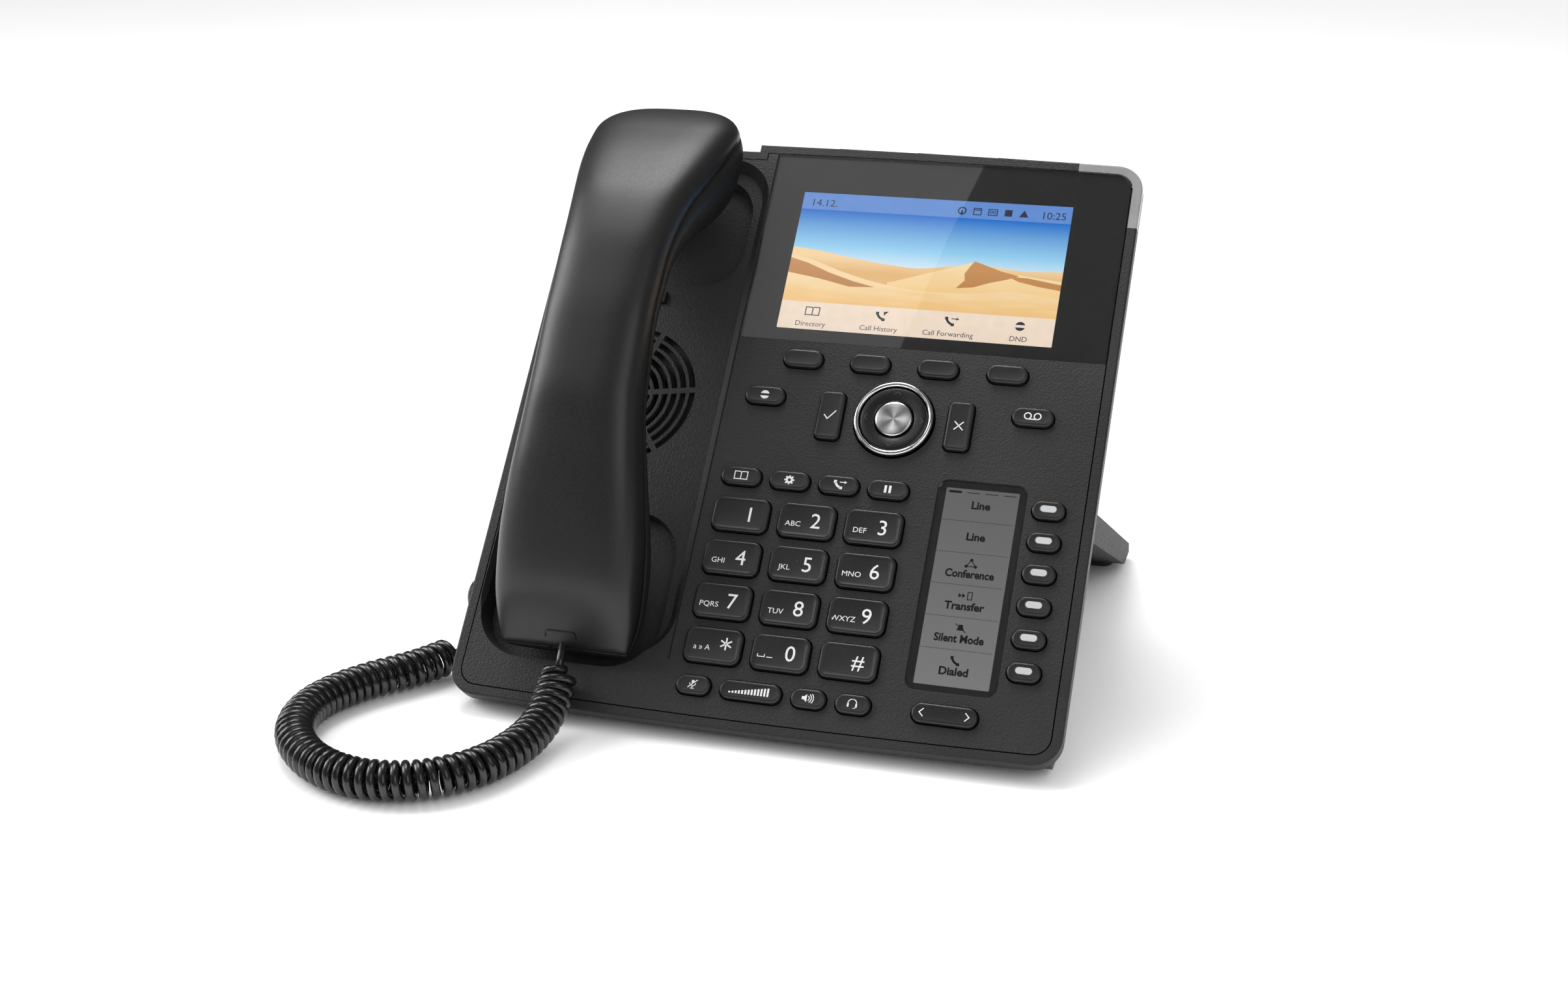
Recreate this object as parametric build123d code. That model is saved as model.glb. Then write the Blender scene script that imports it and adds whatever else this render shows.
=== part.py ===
"""Desk IP phone: a tilted housing with a colour display, a keypad, a cradle and a corded handset.

The housing is drawn in its own panel frame: x to the right, y up the sloping front, w out of it,
with the origin at the middle of the front surface. PANEL then tilts that frame onto the desk.
World frame: +X right, +Y to the back, +Z up, origin under the middle of the phone on the desk.
"""
import os
from math import cos, pi, radians, sin, tan

from build123d import *

os.makedirs("parts", exist_ok=True)

# ---------------------------------------------------------------- driving dimensions (mm, degrees)
TILT = 47.74                 # slope of the front above the desk
BODY_W, BODY_H = 203.0, 216.0
EDGE_BOW = 1.5               # how far the top and bottom edges swell outwards
CORNER_R = 9.5
FRONT_LIFT = 6.4             # height of the front's bottom edge above the desk
BACK_SHIFT = -28.4           # moves the tilted housing so that the origin is under the middle
STEP_X, STEP_DROP = -35.5, 3.0

FRAME_BAND, FRAME_T = 3.3, 5.0
GROOVE = 0.4                 # shadow gap between the frame and the panel
PANEL_T = 2.5
GLASS_T = 1.5
COVER_X, COVER_DEPTH, WALL = 98.4, 30.0, 2.0
COVER_FOOT_Z = 2.6           # height of the rear cover's flat underside

DISPLAY = (31.5, 63.0)       # centre of the main display
DISPLAY_SIZE = (95.04, 53.86)
GLASS_X0, GLASS_Y0 = -27.9, 30.9
LABEL = (64.35, -50.9)       # centre of the label window
LABEL_SIZE, LABEL_R = (29.5, 72.0), 3.5
LABEL_ACTIVE = (24.1, 67.3)
LIGHT_X0, LIGHT_Y0 = 78.9, 82.6

KEY_PROUD, KEY_SKIRT = 1.8, 3.4
KEY_GAP, KEY_EDGE_R = 0.45, 0.8
KEY_FLANGE = 0.8
KEY_TRAVEL = 1.2
NAV = (31.1, 4.3)
NAV_R, NAV_RING, OK_R = 13.35, 1.6, 6.25
MEMBRANE_W = -5.4

CRADLE_X, CRADLE_W = -65.0, 65.0
CRADLE_DEPTH, POCKET_DEPTH = 4.0, 8.0
GRILLE, GRILLE_R = (-66.4, 7.6), 26.7
SLOT_W, SLOT_PITCH, GRILLE_CORE_R = 2.0, 3.2, 4.5

COIL_D, STRAND_D = 13.0, 3.0

SCREW_X, SCREW_YS = 84.0, (-72.0, 46.0)
SCREW_HEAD_R, SCREW_R = 3.0, 1.5

PANEL_Z = FRONT_LIFT + BODY_H / 2 * sin(radians(TILT))
PANEL = Location((0, BACK_SHIFT, PANEL_Z), (TILT, 0, 0))


def world_yz(y, w):
    """A panel-frame point (0, y, w) as world Y and Z."""
    c, s = cos(radians(TILT)), sin(radians(TILT))
    return BACK_SHIFT + c * y - s * w, PANEL_Z + s * y + c * w


def w_at(height, y):
    """The w at which the line y = const in the panel frame reaches a world height."""
    return (height - PANEL_Z - sin(radians(TILT)) * y) / cos(radians(TILT))


# ---------------------------------------------------------------- small helpers
def save(node, shape):
    """Write one node, whatever mix of solids it holds."""
    solids = shape.solids()
    export_step(Compound(children=solids) if len(solids) > 1 else solids[0], f"parts/{node}.step")


def on_panel(node, shape):
    """Write a node that was drawn in the panel frame."""
    save(node, PANEL * shape)


def block(x0, x1, y0, y1, w0, w1):
    """A plain box between two corners."""
    centre = Pos((x0 + x1) / 2, (y0 + y1) / 2, (w0 + w1) / 2)
    return centre * Box(x1 - x0, y1 - y0, w1 - w0)


def slab(face, w_top, thickness):
    """A flat face made solid, from w_top down."""
    return extrude(Pos(0, 0, w_top - thickness) * face, thickness)


def rounded(cx, cy, width, height, radius):
    """A rounded rectangle, or a stadium where the radius is half the height."""
    radius = min(radius, width / 2 - 0.01, height / 2 - 0.01)
    return Pos(cx, cy) * RectangleRounded(width, height, radius)


def top_edges(shape):
    """The edges that lie in the highest plane of a shape."""
    return shape.edges().group_by(Axis.Z)[-1]


# ---------------------------------------------------------------- outlines
def body_outline():
    """The front's outline: bowed top and bottom, and a lower top edge over the cradle."""
    w, h = BODY_W / 2, BODY_H / 2
    corner_y = h - EDGE_BOW
    bottom = ThreePointArc((-w, -corner_y), (0, -h), (w, -corner_y))
    right = Line((w, -corner_y), (w, corner_y))
    top = ThreePointArc((w, corner_y), (w / 3, h - EDGE_BOW / 9), (STEP_X, h - EDGE_BOW / 8))
    step = Line((STEP_X, h - EDGE_BOW / 8), (STEP_X, h - STEP_DROP))
    cradle_top = Line((STEP_X, h - STEP_DROP), (-w, h - STEP_DROP - EDGE_BOW / 2))
    left = Line((-w, h - STEP_DROP - EDGE_BOW / 2), (-w, -corner_y))
    face = make_face([bottom, right, top, step, cradle_top, left])
    corners = face.vertices().sort_by(Axis.X)
    face = fillet(corners[:2] + corners[-2:], CORNER_R)
    return face


OUTLINE = body_outline()
INNER = offset(OUTLINE, -(FRAME_BAND + GROOVE), kind=Kind.INTERSECTION)
BAND = offset(OUTLINE, -FRAME_BAND, kind=Kind.INTERSECTION)

# ---------------------------------------------------------------- key layout: name, centre, size
STADIUM = (13.7, 6.4)
KEYS = {}


def add_key(name, x, y, size=STADIUM, radius=3.2):
    KEYS[name] = (x, y, size[0], size[1], radius)


for i in range(4):
    add_key(f"soft_key_{i + 1}", -3.7 + 23.33 * i, 23.9)
    add_key(f"function_key_{i + 1}", -16.5 + 16.7 * i, -21.1)
add_key("dnd_key", -14.2, 9.1)
add_key("voicemail_key", 76.9, 9.2)
add_key("confirm_key", 9.4, 3.7, (8.4, 17.4), 2.0)
add_key("cancel_key", 53.2, 3.7, (8.4, 17.4), 2.0)
DIAL_NAMES = ["1", "2", "3", "4", "5", "6", "7", "8", "9", "star", "0", "hash"]
for i, digit in enumerate(DIAL_NAMES):
    add_key(f"dial_key_{digit}", -13.9 + 22.5 * (i % 3), -34.9 - 15.33 * (i // 3), (19.1, 12.0), 3.0)
add_key("mute_key", -17.8, -94.6, (11.4, 6.3))
add_key("speaker_key", 20.4, -94.6, (11.4, 6.3))
add_key("headset_key", 34.9, -94.6, (11.4, 6.3))
for i in range(6):
    add_key(f"line_key_{i + 1}", 86.6, -23.0 - 10.95 * i, (10.7, 6.3))
ROCKERS = {"volume_rocker": (1.3, -94.6, 20.4, 6.3, 3.1), "page_rocker": (64.2, -94.5, 20.9, 6.4, 3.1)}


def key_cap(x, y, width, height, radius):
    """A key: a rounded cap on a skirt, with a flange that the panel holds back."""
    cap = slab(rounded(x, y, width, height, radius), KEY_PROUD, KEY_PROUD + KEY_SKIRT)
    cap = fillet(top_edges(cap), KEY_EDGE_R)
    flange = rounded(x, y, width + 2 * KEY_FLANGE, height + 2 * KEY_FLANGE, radius + KEY_FLANGE)
    return cap + slab(flange, -PANEL_T - 0.3, KEY_SKIRT - PANEL_T - 0.3)


def rocker_cap(x, y, width, height, radius):
    """A two-way key: its flange sits lower and shorter, so that it can tilt."""
    cap = slab(rounded(x, y, width, height, radius), KEY_PROUD, KEY_PROUD + KEY_SKIRT + 0.6)
    cap = fillet(top_edges(cap), KEY_EDGE_R)
    return cap + slab(rounded(x, y, width / 2, height + 2 * KEY_FLANGE, 1), -PANEL_T - 0.9, 0.6)


def key_hole(x, y, width, height, radius):
    """The well round a key, through the panel."""
    grown = rounded(x, y, width + 2 * KEY_GAP, height + 2 * KEY_GAP, radius + KEY_GAP)
    return slab(grown, 1, PANEL_T + 2)


# ---------------------------------------------------------------- front frame, light and panel
def front_frame():
    """The outer band with a softened outer edge; returns the frame and the corner light."""
    ring = slab(OUTLINE, 0, FRAME_T)
    ring = fillet(top_edges(ring), 0.7) - slab(BAND, 1, FRAME_T + 2)
    corner = block(LIGHT_X0, BODY_W, LIGHT_Y0, BODY_H, -3.0, 1)
    return ring - corner, ring & corner


def cradle_cut():
    """The shallow sloping recess, with deeper pockets for the two ends of the handset."""
    left, right = CRADLE_X - CRADLE_W / 2, CRADLE_X + CRADLE_W / 2
    mouth = rounded((left + right + 4) / 2, 7, right - left + 4, 188, 16)
    shallow = extrude(mouth, -CRADLE_DEPTH, taper=38)
    lower = extrude(rounded(CRADLE_X, -63.5, 62.8, 57, 17), -POCKET_DEPTH, taper=10)
    upper = extrude(rounded(CRADLE_X, 73, 62.8, 45, 15), -POCKET_DEPTH, taper=10)
    return shallow + lower + upper


def cradle_tub():
    """The walls and floor under the cradle's recess."""
    rim = block(-97.7, -27.5, -90, 102, -FRAME_T + 0.1, -0.5)
    tub = block(-96.3, -27.5, -90, 98, -CRADLE_DEPTH - PANEL_T, -0.5)
    lower = slab(rounded(CRADLE_X, -63.5, 62.4, 58.6, 18), -0.5, POCKET_DEPTH + 1.2)
    upper = slab(rounded(CRADLE_X, 73, 62.4, 47.6, 16), -0.5, POCKET_DEPTH + 1.2)
    return rim + tub + lower + upper


def grille_slots():
    """Concentric arc slots for the loudspeaker, crossed by four ribs."""
    slots = Sketch()
    radius = GRILLE_CORE_R
    while radius + SLOT_W <= GRILLE_R + 0.01:
        slots += Circle(radius + SLOT_W) - Circle(radius)
        radius += SLOT_PITCH
    for angle in (8, 68, 128):
        slots -= Rot(0, 0, angle) * Rectangle(2.4 * GRILLE_R, 2.0)
    return slab(Pos(*GRILLE) * slots, 0, 12)


def front_panel():
    """The fascia: key wells, windows, cradle and grille, inside the frame."""
    plate = slab(INNER, 0, PANEL_T) + (cradle_tub() & slab(INNER, 0, 12))
    plate -= cradle_cut()
    plate -= grille_slots()
    for key in list(KEYS.values()) + list(ROCKERS.values()):
        plate -= key_hole(*key)
    plate -= Pos(*NAV, -PANEL_T / 2) * Cylinder(NAV_R + 0.6, PANEL_T + 2)
    plate -= glass_region(0) & slab(INNER, 1, GLASS_T + 1.1)
    plate -= slab(rounded(*DISPLAY, DISPLAY_SIZE[0] + 2, DISPLAY_SIZE[1] + 2, 0.6), 1, PANEL_T + 2)
    plate -= slab(rounded(*LABEL, *LABEL_SIZE, LABEL_R), 1, GLASS_T + 1.1)
    plate -= slab(rounded(*LABEL, LABEL_ACTIVE[0] + 1, LABEL_ACTIVE[1] + 1, 0.6), 1, PANEL_T + 2)
    plate -= block(-28.3, -27.9, -86.6, BODY_H, -0.5, 1)
    plate -= hook_slot(0.4)
    return plate


def glass_region(gap):
    """The block that holds the display's cover glass, less a gap all round."""
    return block(GLASS_X0 + gap, BODY_W, GLASS_Y0 + gap, BODY_H, -GLASS_T - 0.1, 1)


def hook_slot(gap):
    """The plunger of the hook switch, or the slot round it."""
    return block(CRADLE_X - 6 - gap, CRADLE_X + 6 + gap, 43.5 - gap, 47.5 + gap, -16, -2.8)


def display_lens():
    inside = offset(INNER, -0.08, kind=Kind.INTERSECTION)
    return slab(inside, 0, GLASS_T) & glass_region(0.08)


def label_lens():
    gap = 0.08
    outline = rounded(*LABEL, LABEL_SIZE[0] - 2 * gap, LABEL_SIZE[1] - 2 * gap, LABEL_R - gap)
    return slab(outline, -0.1, GLASS_T - 0.1)


def display_modules():
    """The two display panels: a thin image layer in each window on a thicker module behind."""
    shapes = []
    for centre, size, margin in ((DISPLAY, DISPLAY_SIZE, 4), (LABEL, LABEL_ACTIVE, 2)):
        shapes.append(slab(rounded(*centre, *size, 0.3), -GLASS_T - 0.15, 1.5)
                      + slab(rounded(*centre, size[0] + margin, size[1] + margin, 1), -2.6, 2.6))
    return Compound(children=[s.solids()[0] for s in shapes])


# ---------------------------------------------------------------- inside the housing
def keypad_membrane():
    """One rubber mat under every key, cut round the label display and cradle."""
    mat = slab(rounded(36, -35.5, 119, 129, 4), MEMBRANE_W, 1.0)
    mat -= slab(rounded(*LABEL, LABEL_ACTIVE[0] + 3, LABEL_ACTIVE[1] + 3, 1), 0, 20)
    for x, y, _, _, _ in list(KEYS.values()) + list(ROCKERS.values()):
        mat += Pos(x, y, MEMBRANE_W + 0.2) * Cylinder(1.6, 0.6)
    return mat


def main_board():
    """The circuit board with its shield cans and processor."""
    board = slab(rounded(35, -5, 118, 186, 2), -9.0, 1.6)
    board += block(0, 42, 30, 62, -13.5, -10.6) + block(52, 78, 36, 60, -12.8, -10.6)
    board += block(20, 36, -20, -4, -12.4, -10.6) + block(56, 74, -60, -30, -15, -10.6)
    for x in (-18, 35, 88):
        for y in (-92, 82):
            board -= Pos(x, y, -10) * Cylinder(1.7, 6)
    return board


def loudspeaker():
    """A round speaker behind the grille: frame, cone recess and magnet."""
    base_w = -CRADLE_DEPTH - PANEL_T - 0.1
    basket = Cylinder(GRILLE_R + 1.5, 5, align=(Align.CENTER, Align.CENTER, Align.MAX))
    basket -= Pos(0, 0, 0) * Cone(8, GRILLE_R - 1, 8)
    magnet = Pos(0, 0, -5) * Cylinder(14, 7, align=(Align.CENTER, Align.CENTER, Align.MAX))
    return Pos(*GRILLE, base_w) * (basket + magnet)


# Sockets as (name, y, w, width along y, height along w); the left wall's open to -X, the right's to +X
LEFT_SOCKETS = [("handset", -60.0, -20.0, 9.8, 7.8), ("headset", -42.0, -20.0, 9.8, 7.8)]
RIGHT_SOCKETS = [("lan", -52.0, -20.0, 12.4, 8.8), ("pc", -34.0, -20.0, 12.4, 8.8),
                 ("power", -17.0, -20.0, 9.0, 9.0)]
SOCKET_DEPTH, SOCKET_WALL = 13.0, 1.4


def socket_block(sockets, side):
    """A row of jacks behind one side wall, each an open-mouthed box."""
    group = []
    for _, y, w, width, height in sockets:
        outer = SOCKET_WALL
        x0, x1 = sorted((side * (COVER_X - WALL - 0.05), side * (COVER_X - WALL - SOCKET_DEPTH - 2)))
        shell = block(x0, x1, y - width / 2 - outer, y + width / 2 + outer,
                      w - height / 2 - outer, w + height / 2 + outer)
        group.append((shell - socket_cut(y, w, width, height, side)).solids()[0])
    return group


def socket_cut(y, w, width, height, side):
    """The open space of one jack, from outside the wall to its back."""
    x0, x1 = sorted((side * (COVER_X + 5), side * (COVER_X - WALL - SOCKET_DEPTH)))
    return block(x0, x1, y - width / 2, y + width / 2, w - height / 2, w + height / 2)


def cover_profile(inset):
    """Side profile of the rear cover in the panel's y and w, with a level underside."""
    y_front = -BODY_H / 2 + 3.6 + inset
    foot_z = COVER_FOOT_Z + inset
    y_back = (foot_z - PANEL_Z + (COVER_DEPTH - inset) * cos(radians(TILT))) / sin(radians(TILT))
    top = -PANEL_T if inset else -FRAME_T
    points = [(y_front, top), (y_front, w_at(foot_z, y_front)), (y_back, -COVER_DEPTH + inset),
              (58 - inset / 2, -COVER_DEPTH + inset), (92 - inset, -20 + inset / 2),
              (101 - inset, -8), (101 - inset, top)]
    outline = Plane.YZ * Polyline(*points, close=True)
    return make_face(outline)


def rear_cover():
    """The rear shell: walls, level underside, vents, screw posts, wall keyholes and jack mouths."""
    shell = Pos(-COVER_X, 0, 0) * extrude(cover_profile(0), 2 * COVER_X, dir=(1, 0, 0))
    side_edges = shell.edges().filter_by(Axis.X).sort_by(Axis.Z)[:2]
    shell = fillet(side_edges, 3)
    inner_x = COVER_X - WALL
    inner = Pos(-inner_x, 0, 0) * extrude(cover_profile(WALL), 2 * inner_x, dir=(1, 0, 0))
    shell -= inner
    for x in (-50, 50):
        for row in range(5):
            shell -= block(x - 24, x + 24, 62 + 5.5 * row, 64.5 + 5.5 * row, -40, -10)
    for x in (-SCREW_X, SCREW_X):
        for y in SCREW_YS:
            post = Cylinder(4, COVER_DEPTH - 14) - Cylinder(1.6, COVER_DEPTH)
            shell += Pos(x, y, -(COVER_DEPTH + 14) / 2 + 0.5) * post
            shell -= Pos(x, y, -COVER_DEPTH) * Cylinder(3.4, 4)
            shell -= Pos(x, y, -COVER_DEPTH) * Cylinder(1.6, 14)
    for name, y, w, width, height in LEFT_SOCKETS:
        shell -= socket_cut(y, w, width, height, -1)
    for name, y, w, width, height in RIGHT_SOCKETS:
        shell -= socket_cut(y, w, width, height, 1)
    return shell




def housing_screws():
    """Four pan-head screws through the rear cover, and their cross recesses."""
    screws = []
    for x in (-SCREW_X, SCREW_X):
        for y in SCREW_YS:
            head_w = -COVER_DEPTH + 0.2
            screw = Pos(x, y, head_w + 0.9) * Cylinder(SCREW_HEAD_R, 1.8)
            screw += Pos(x, y, head_w + 1.8 + 4) * Cylinder(SCREW_R, 8)
            for angle in (0, 90):
                screw -= Pos(x, y, head_w) * Rot(0, 0, angle) * Box(3.6, 0.8, 1.8)
            screws.append(screw.solids()[0])
    return Compound(children=screws)


# ---------------------------------------------------------------- stand and feet (world frame)
STAND_X, STAND_T = 97.5, 4.5
STAND_REAR_Y = 101.0
PAD_T = 2.8


def foot_stand():
    """A bent plate: one leaf clips flat to the cover's back, the other runs down to the desk."""
    def back(y, out):
        return world_yz(y, -COVER_DEPTH - 0.05 - out)
    knee, top = back(-14, STAND_T), back(44, 0)
    heel = (STAND_REAR_Y, PAD_T)
    toe = (STAND_REAR_Y - 14, PAD_T)
    points = [back(-20, 0), top, back(44, STAND_T), back(-8, STAND_T),
              (STAND_REAR_Y - 1.5, PAD_T + STAND_T - 0.5), heel, toe]
    profile = make_face(Plane.YZ * Polyline(*points, close=True))
    plate = Pos(-STAND_X, 0, 0) * extrude(profile, 2 * STAND_X, dir=(1, 0, 0))
    mid_y = (knee[0] + heel[0]) / 2 + 4
    plate -= Pos(0, mid_y, 30) * Box(110, 48, 60)
    for y in SCREW_YS:
        for x in (-SCREW_X, SCREW_X):
            plate -= PANEL * (Pos(x, y, -COVER_DEPTH) * Cylinder(4.4, 30))
    return plate


def rubber_feet():
    """Two pads under the cover's front edge and two under the stand's rear bar."""
    pads = []
    front_y, _ = world_yz(-BODY_H / 2 + 14, w_at(COVER_FOOT_Z, -BODY_H / 2 + 14))
    for x in (-78, 78):
        pads.append(Pos(x, front_y, COVER_FOOT_Z / 2) * extrude_pad(24, 7, COVER_FOOT_Z))
        pads.append(Pos(x, STAND_REAR_Y - 7.5, PAD_T / 2) * extrude_pad(28, 8, PAD_T))
    return Compound(children=[p.solids()[0] for p in pads])


def extrude_pad(length, width, height):
    """A flat pad with round ends, centred on its own middle."""
    return Pos(0, 0, -height / 2) * extrude(RectangleRounded(length, width, width / 2 - 0.1), height)


# ---------------------------------------------------------------- handset (panel frame)
HANDSET_X = -62.5
HANDSET_WALL = 2.4
SHOULDER_R, CROWN = 8.5, 2.2    # rounding of the handset's long edges, and the bow of its back
# stations along y: (y, half width, underside w, crest w)
HANDSET = [
    (-88.5, 20.4, -1.0, 7.6), (-84.0, 22.8, -5.6, 14.6), (-76.0, 24.4, -6.8, 22.6), (-58.0, 24.6, -4.5, 32.0),
    (-40.0, 22.6, 8.5, 40.0), (-15.0, 19.2, 24.0, 47.5), (15.0, 18.0, 31.0, 51.5), (42.0, 18.4, 27.0, 51.0),
    (60.0, 20.6, 13.0, 47.5), (80.0, 24.2, -5.0, 40.5), (96.0, 24.6, 0.0, 30.5), (105.5, 20.0, 8.0, 19.5),
]


def handset_section(y, half, low, high):
    """One section across the handset: flat below, bowed above, with rounded long edges."""
    rise = min(CROWN, 0.2 * (high - low))
    edge = high - rise
    outline = Polyline((-half, edge), (-half, low), (half, low), (half, edge))
    outline += ThreePointArc((-half, edge), (0, high), (half, edge))
    face = make_face(outline.edges())
    face = fillet(face.vertices().group_by(Axis.Y)[-1], min(SHOULDER_R, 0.42 * (high - low)))
    face = fillet(face.vertices().group_by(Axis.Y)[0], min(3.0, 0.2 * (high - low)))
    return Plane(origin=(HANDSET_X, y, 0), x_dir=(1, 0, 0), z_dir=(0, -1, 0)) * face


def handset_body(inset):
    """The whole handset as one loft, or its inner space when inset."""
    stations = HANDSET if inset == 0 else HANDSET[1:-1]
    faces = [handset_section(y, half - inset, low + inset, high - inset) for y, half, low, high in stations]
    return loft(faces)


def seam_block():
    """Everything below the seam between the handset's two shells."""
    seam = Spline((-95, 4.0), (-72, 8.0), (-45, 21.0), (-10, 35.0), (25, 41.5), (52, 39.0), (75, 31.0), (114, 15.0))
    low = Polyline((114, 15.0), (114, -30), (-95, -30), (-95, 4.0))
    face = Plane.YZ * make_face(seam.edges() + low.edges())
    return Pos(HANDSET_X - 45, 0, 0) * extrude(face, 90, dir=(1, 0, 0))


PLUG_W, PLUG_H, PLUG_L = 7.6, 6.4, 11.0
RECEIVER_Y, MICROPHONE_Y = 85.0, -68.0
HANDSET_JACK = (-88.5, 6.3)   # y of the end face, w of the jack's middle


def handset_parts():
    """Back shell, front shell with its sound holes, and the two capsules inside."""
    y_end, w_jack = HANDSET_JACK
    whole = handset_body(0) - handset_body(HANDSET_WALL)
    below = seam_block()
    notch = block(HANDSET_X - 5.6, HANDSET_X + 5.6, y_end - 3, y_end + 14, w_jack - 4.2, w_jack + 5.2)
    back = whole - below - notch
    front = (whole & below) - notch
    holes = [(0, 0)]
    for ring in (1, 2):
        for step in range(6 * ring):
            angle = radians(360 / (6 * ring) * step)
            holes.append((3.6 * ring * cos(angle), 3.6 * ring * sin(angle)))
    for dx, dy in holes:
        front -= Pos(HANDSET_X + dx, RECEIVER_Y + dy, -6) * Cylinder(0.9, 8)
    for dx in (-3, 0, 3):
        front -= Pos(HANDSET_X + dx, MICROPHONE_Y, -6) * Cylinder(0.8, 8)
    standing = (Align.CENTER, Align.CENTER, Align.MIN)
    receiver = Pos(HANDSET_X, RECEIVER_Y, 0.8) * Cylinder(8, 6, align=standing)
    microphone = Pos(HANDSET_X, MICROPHONE_Y, -3.2) * Cylinder(4.5, 4, align=standing)
    return back, front, Compound(children=[receiver.solids()[0], microphone.solids()[0]])


# ---------------------------------------------------------------- cord (world frame)
COIL_ROUTE = [(-61.3, -98.4, 20.9), (-60.6, -106.0, 12.54), (-61.0, -117.9, 7.6), (-63.2, -133.4, 6.8),
              (-70.0, -149.4, 6.8), (-84.0, -161.4, 6.8), (-103.0, -164.4, 6.8), (-122.0, -156.4, 6.8),
              (-136.5, -139.9, 6.8), (-140.0, -119.4, 6.8), (-131.5, -100.4, 6.8), (-119.0, -85.9, 6.8),
              (-111.0, -71.4, 7.2)]
HANDSET_LEAD_ROUTE = [(-62.5, -90.56, 27.29), (-62.45, -92.54, 25.11), (-61.7, -95.6, 23.63), (-61.31, -98.28, 21.03)]
BASE_LEAD_ROUTE = [COIL_ROUTE[-1], (-108.83, -67.5, 7.31), (-107.4, -60.5, 9.5), (-110.6, -55.0, 15.2),
                   (-112.6, -54.0, 22.4), (-108.6, -53.95, 28.48), (-102.5, -53.95, 28.48)]


def tube(points, diameter, label):
    """A round tube along straight runs joined by arcs as large as each corner allows."""
    vectors = [Vector(*p) for p in points]
    runs = [b - a for a, b in zip(vectors, vectors[1:])]
    radii = []
    for before, after in zip(runs, runs[1:]):
        turn = radians(before.get_angle(after))
        radii.append(0.45 * min(before.length, after.length) / tan(turn / 2))
    path = FilletPolyline(*points, radius=radii)
    start = Plane(origin=vectors[0], z_dir=runs[0])
    solid = sweep(start * Circle(diameter / 2), path=path)
    area = pi * diameter ** 2 / 4
    print(label, "radii", [round(r, 1) for r in radii], "length", round(path.length, 1),
          "volume ratio", round(solid.volume / (area * path.length), 4))
    return solid


HANDSET_PLUG_Y = -85.5       # where the strand leaves the handset's plug, panel frame
BASE_PLUG_X = -102.5         # where the strand enters the base plug


def modular_plug():
    """A modular plug with its latch, nose at the origin, body along +X."""
    plug = block(0, PLUG_L, -PLUG_W / 2, PLUG_W / 2, -PLUG_H / 2, PLUG_H / 2)
    return plug + block(1.0, PLUG_L - 1, -1.6, 1.6, PLUG_H / 2 - 0.1, PLUG_H / 2 + 0.7)


def long_plug():
    """The base plug, with a boot behind it that reaches the strand."""
    boot = block(PLUG_L - 0.1, PLUG_L + 5, -PLUG_W / 2 + 0.6, PLUG_W / 2 - 0.6, -PLUG_H / 2 + 0.6, PLUG_H / 2 - 0.6)
    return modular_plug() + boot


def build_housing():
    """Everything that stays with the housing."""
    frame_ring, corner_light = front_frame()
    on_panel("front_frame", frame_ring)
    on_panel("alert_light", corner_light)
    on_panel("front_panel", front_panel())
    on_panel("display_lens", display_lens())
    on_panel("label_lens", label_lens())
    on_panel("display_modules", display_modules())
    on_panel("keypad_membrane", keypad_membrane())
    on_panel("main_board", main_board())
    on_panel("loudspeaker", loudspeaker())
    jacks = socket_block(LEFT_SOCKETS, -1) + socket_block(RIGHT_SOCKETS, 1)
    on_panel("jack_blocks", Compound(children=jacks))
    on_panel("rear_cover", rear_cover())
    on_panel("housing_screws", housing_screws())
    save("foot_stand", foot_stand())
    save("rubber_feet", rubber_feet())


def build_keys():
    """Every key and rocker, the navigation ring and pad, and the key in its middle."""
    for name, place in KEYS.items():
        on_panel(name, key_cap(*place))
    for name, place in ROCKERS.items():
        on_panel(name, rocker_cap(*place))
    ring = Cylinder(NAV_R, 5.2) - Cylinder(NAV_R - NAV_RING, 6)
    ring = fillet(ring.edges().filter_by(GeomType.CIRCLE).group_by(Axis.Z)[-1], 0.7)
    on_panel("nav_trim_ring", Pos(*NAV, 2.0 - 2.6) * ring)
    pad = Cylinder(NAV_R - NAV_RING - 0.25, 4.6) - Cylinder(OK_R + 0.5, 6)
    on_panel("nav_pad", Pos(*NAV, 1.4 - 2.3) * pad)
    ok = fillet(top_edges(Cylinder(OK_R, 5.4)), 0.8)
    on_panel("ok_key", Pos(*NAV, 2.0 - 2.7) * ok)
    on_panel("hook_switch", hook_plunger())


def hook_plunger():
    """The plunger that the earpiece end presses, reaching down to its switch on the board."""
    return hook_slot(0)


def build_handset():
    back, front, capsules = handset_parts()
    on_panel("handset_back_shell", back)
    on_panel("handset_front_shell", front)
    on_panel("handset_capsules", capsules)


def build_cord():
    """The curly cord as a fat tube, its two straight leads and the plugs at its ends."""
    coil = tube(COIL_ROUTE, COIL_D, "coil") + tube(BASE_LEAD_ROUTE, STRAND_D, "base lead")
    save("cord_coil", coil)
    save("cord_lead", tube(HANDSET_LEAD_ROUTE, STRAND_D, "handset lead"))
    nose = Pos(HANDSET_X, HANDSET_PLUG_Y + PLUG_L, HANDSET_JACK[1])
    on_panel("handset_plug", nose * Rot(0, 0, -90) * modular_plug())
    _, y, w, _, _ = LEFT_SOCKETS[0]
    on_panel("base_plug", Pos(BASE_PLUG_X + PLUG_L + 5, y, w) * Rot(0, 180, 0) * long_plug())


build_housing()
build_keys()
build_handset()
build_cord()
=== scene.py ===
"""Looks for the desk IP phone: its own keys, handset, curly cord, displays, legends and materials.

Sizes are in millimetres in the panel frame, x right, y up the sloping front, w out of it, and
PANEL turns them into metres in the CAD frame. Cord points are in metres in the CAD frame.
"""

from math import cos, pi, radians, sin, tau

import bpy
import numpy as np
from mathutils import Matrix, Vector


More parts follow.
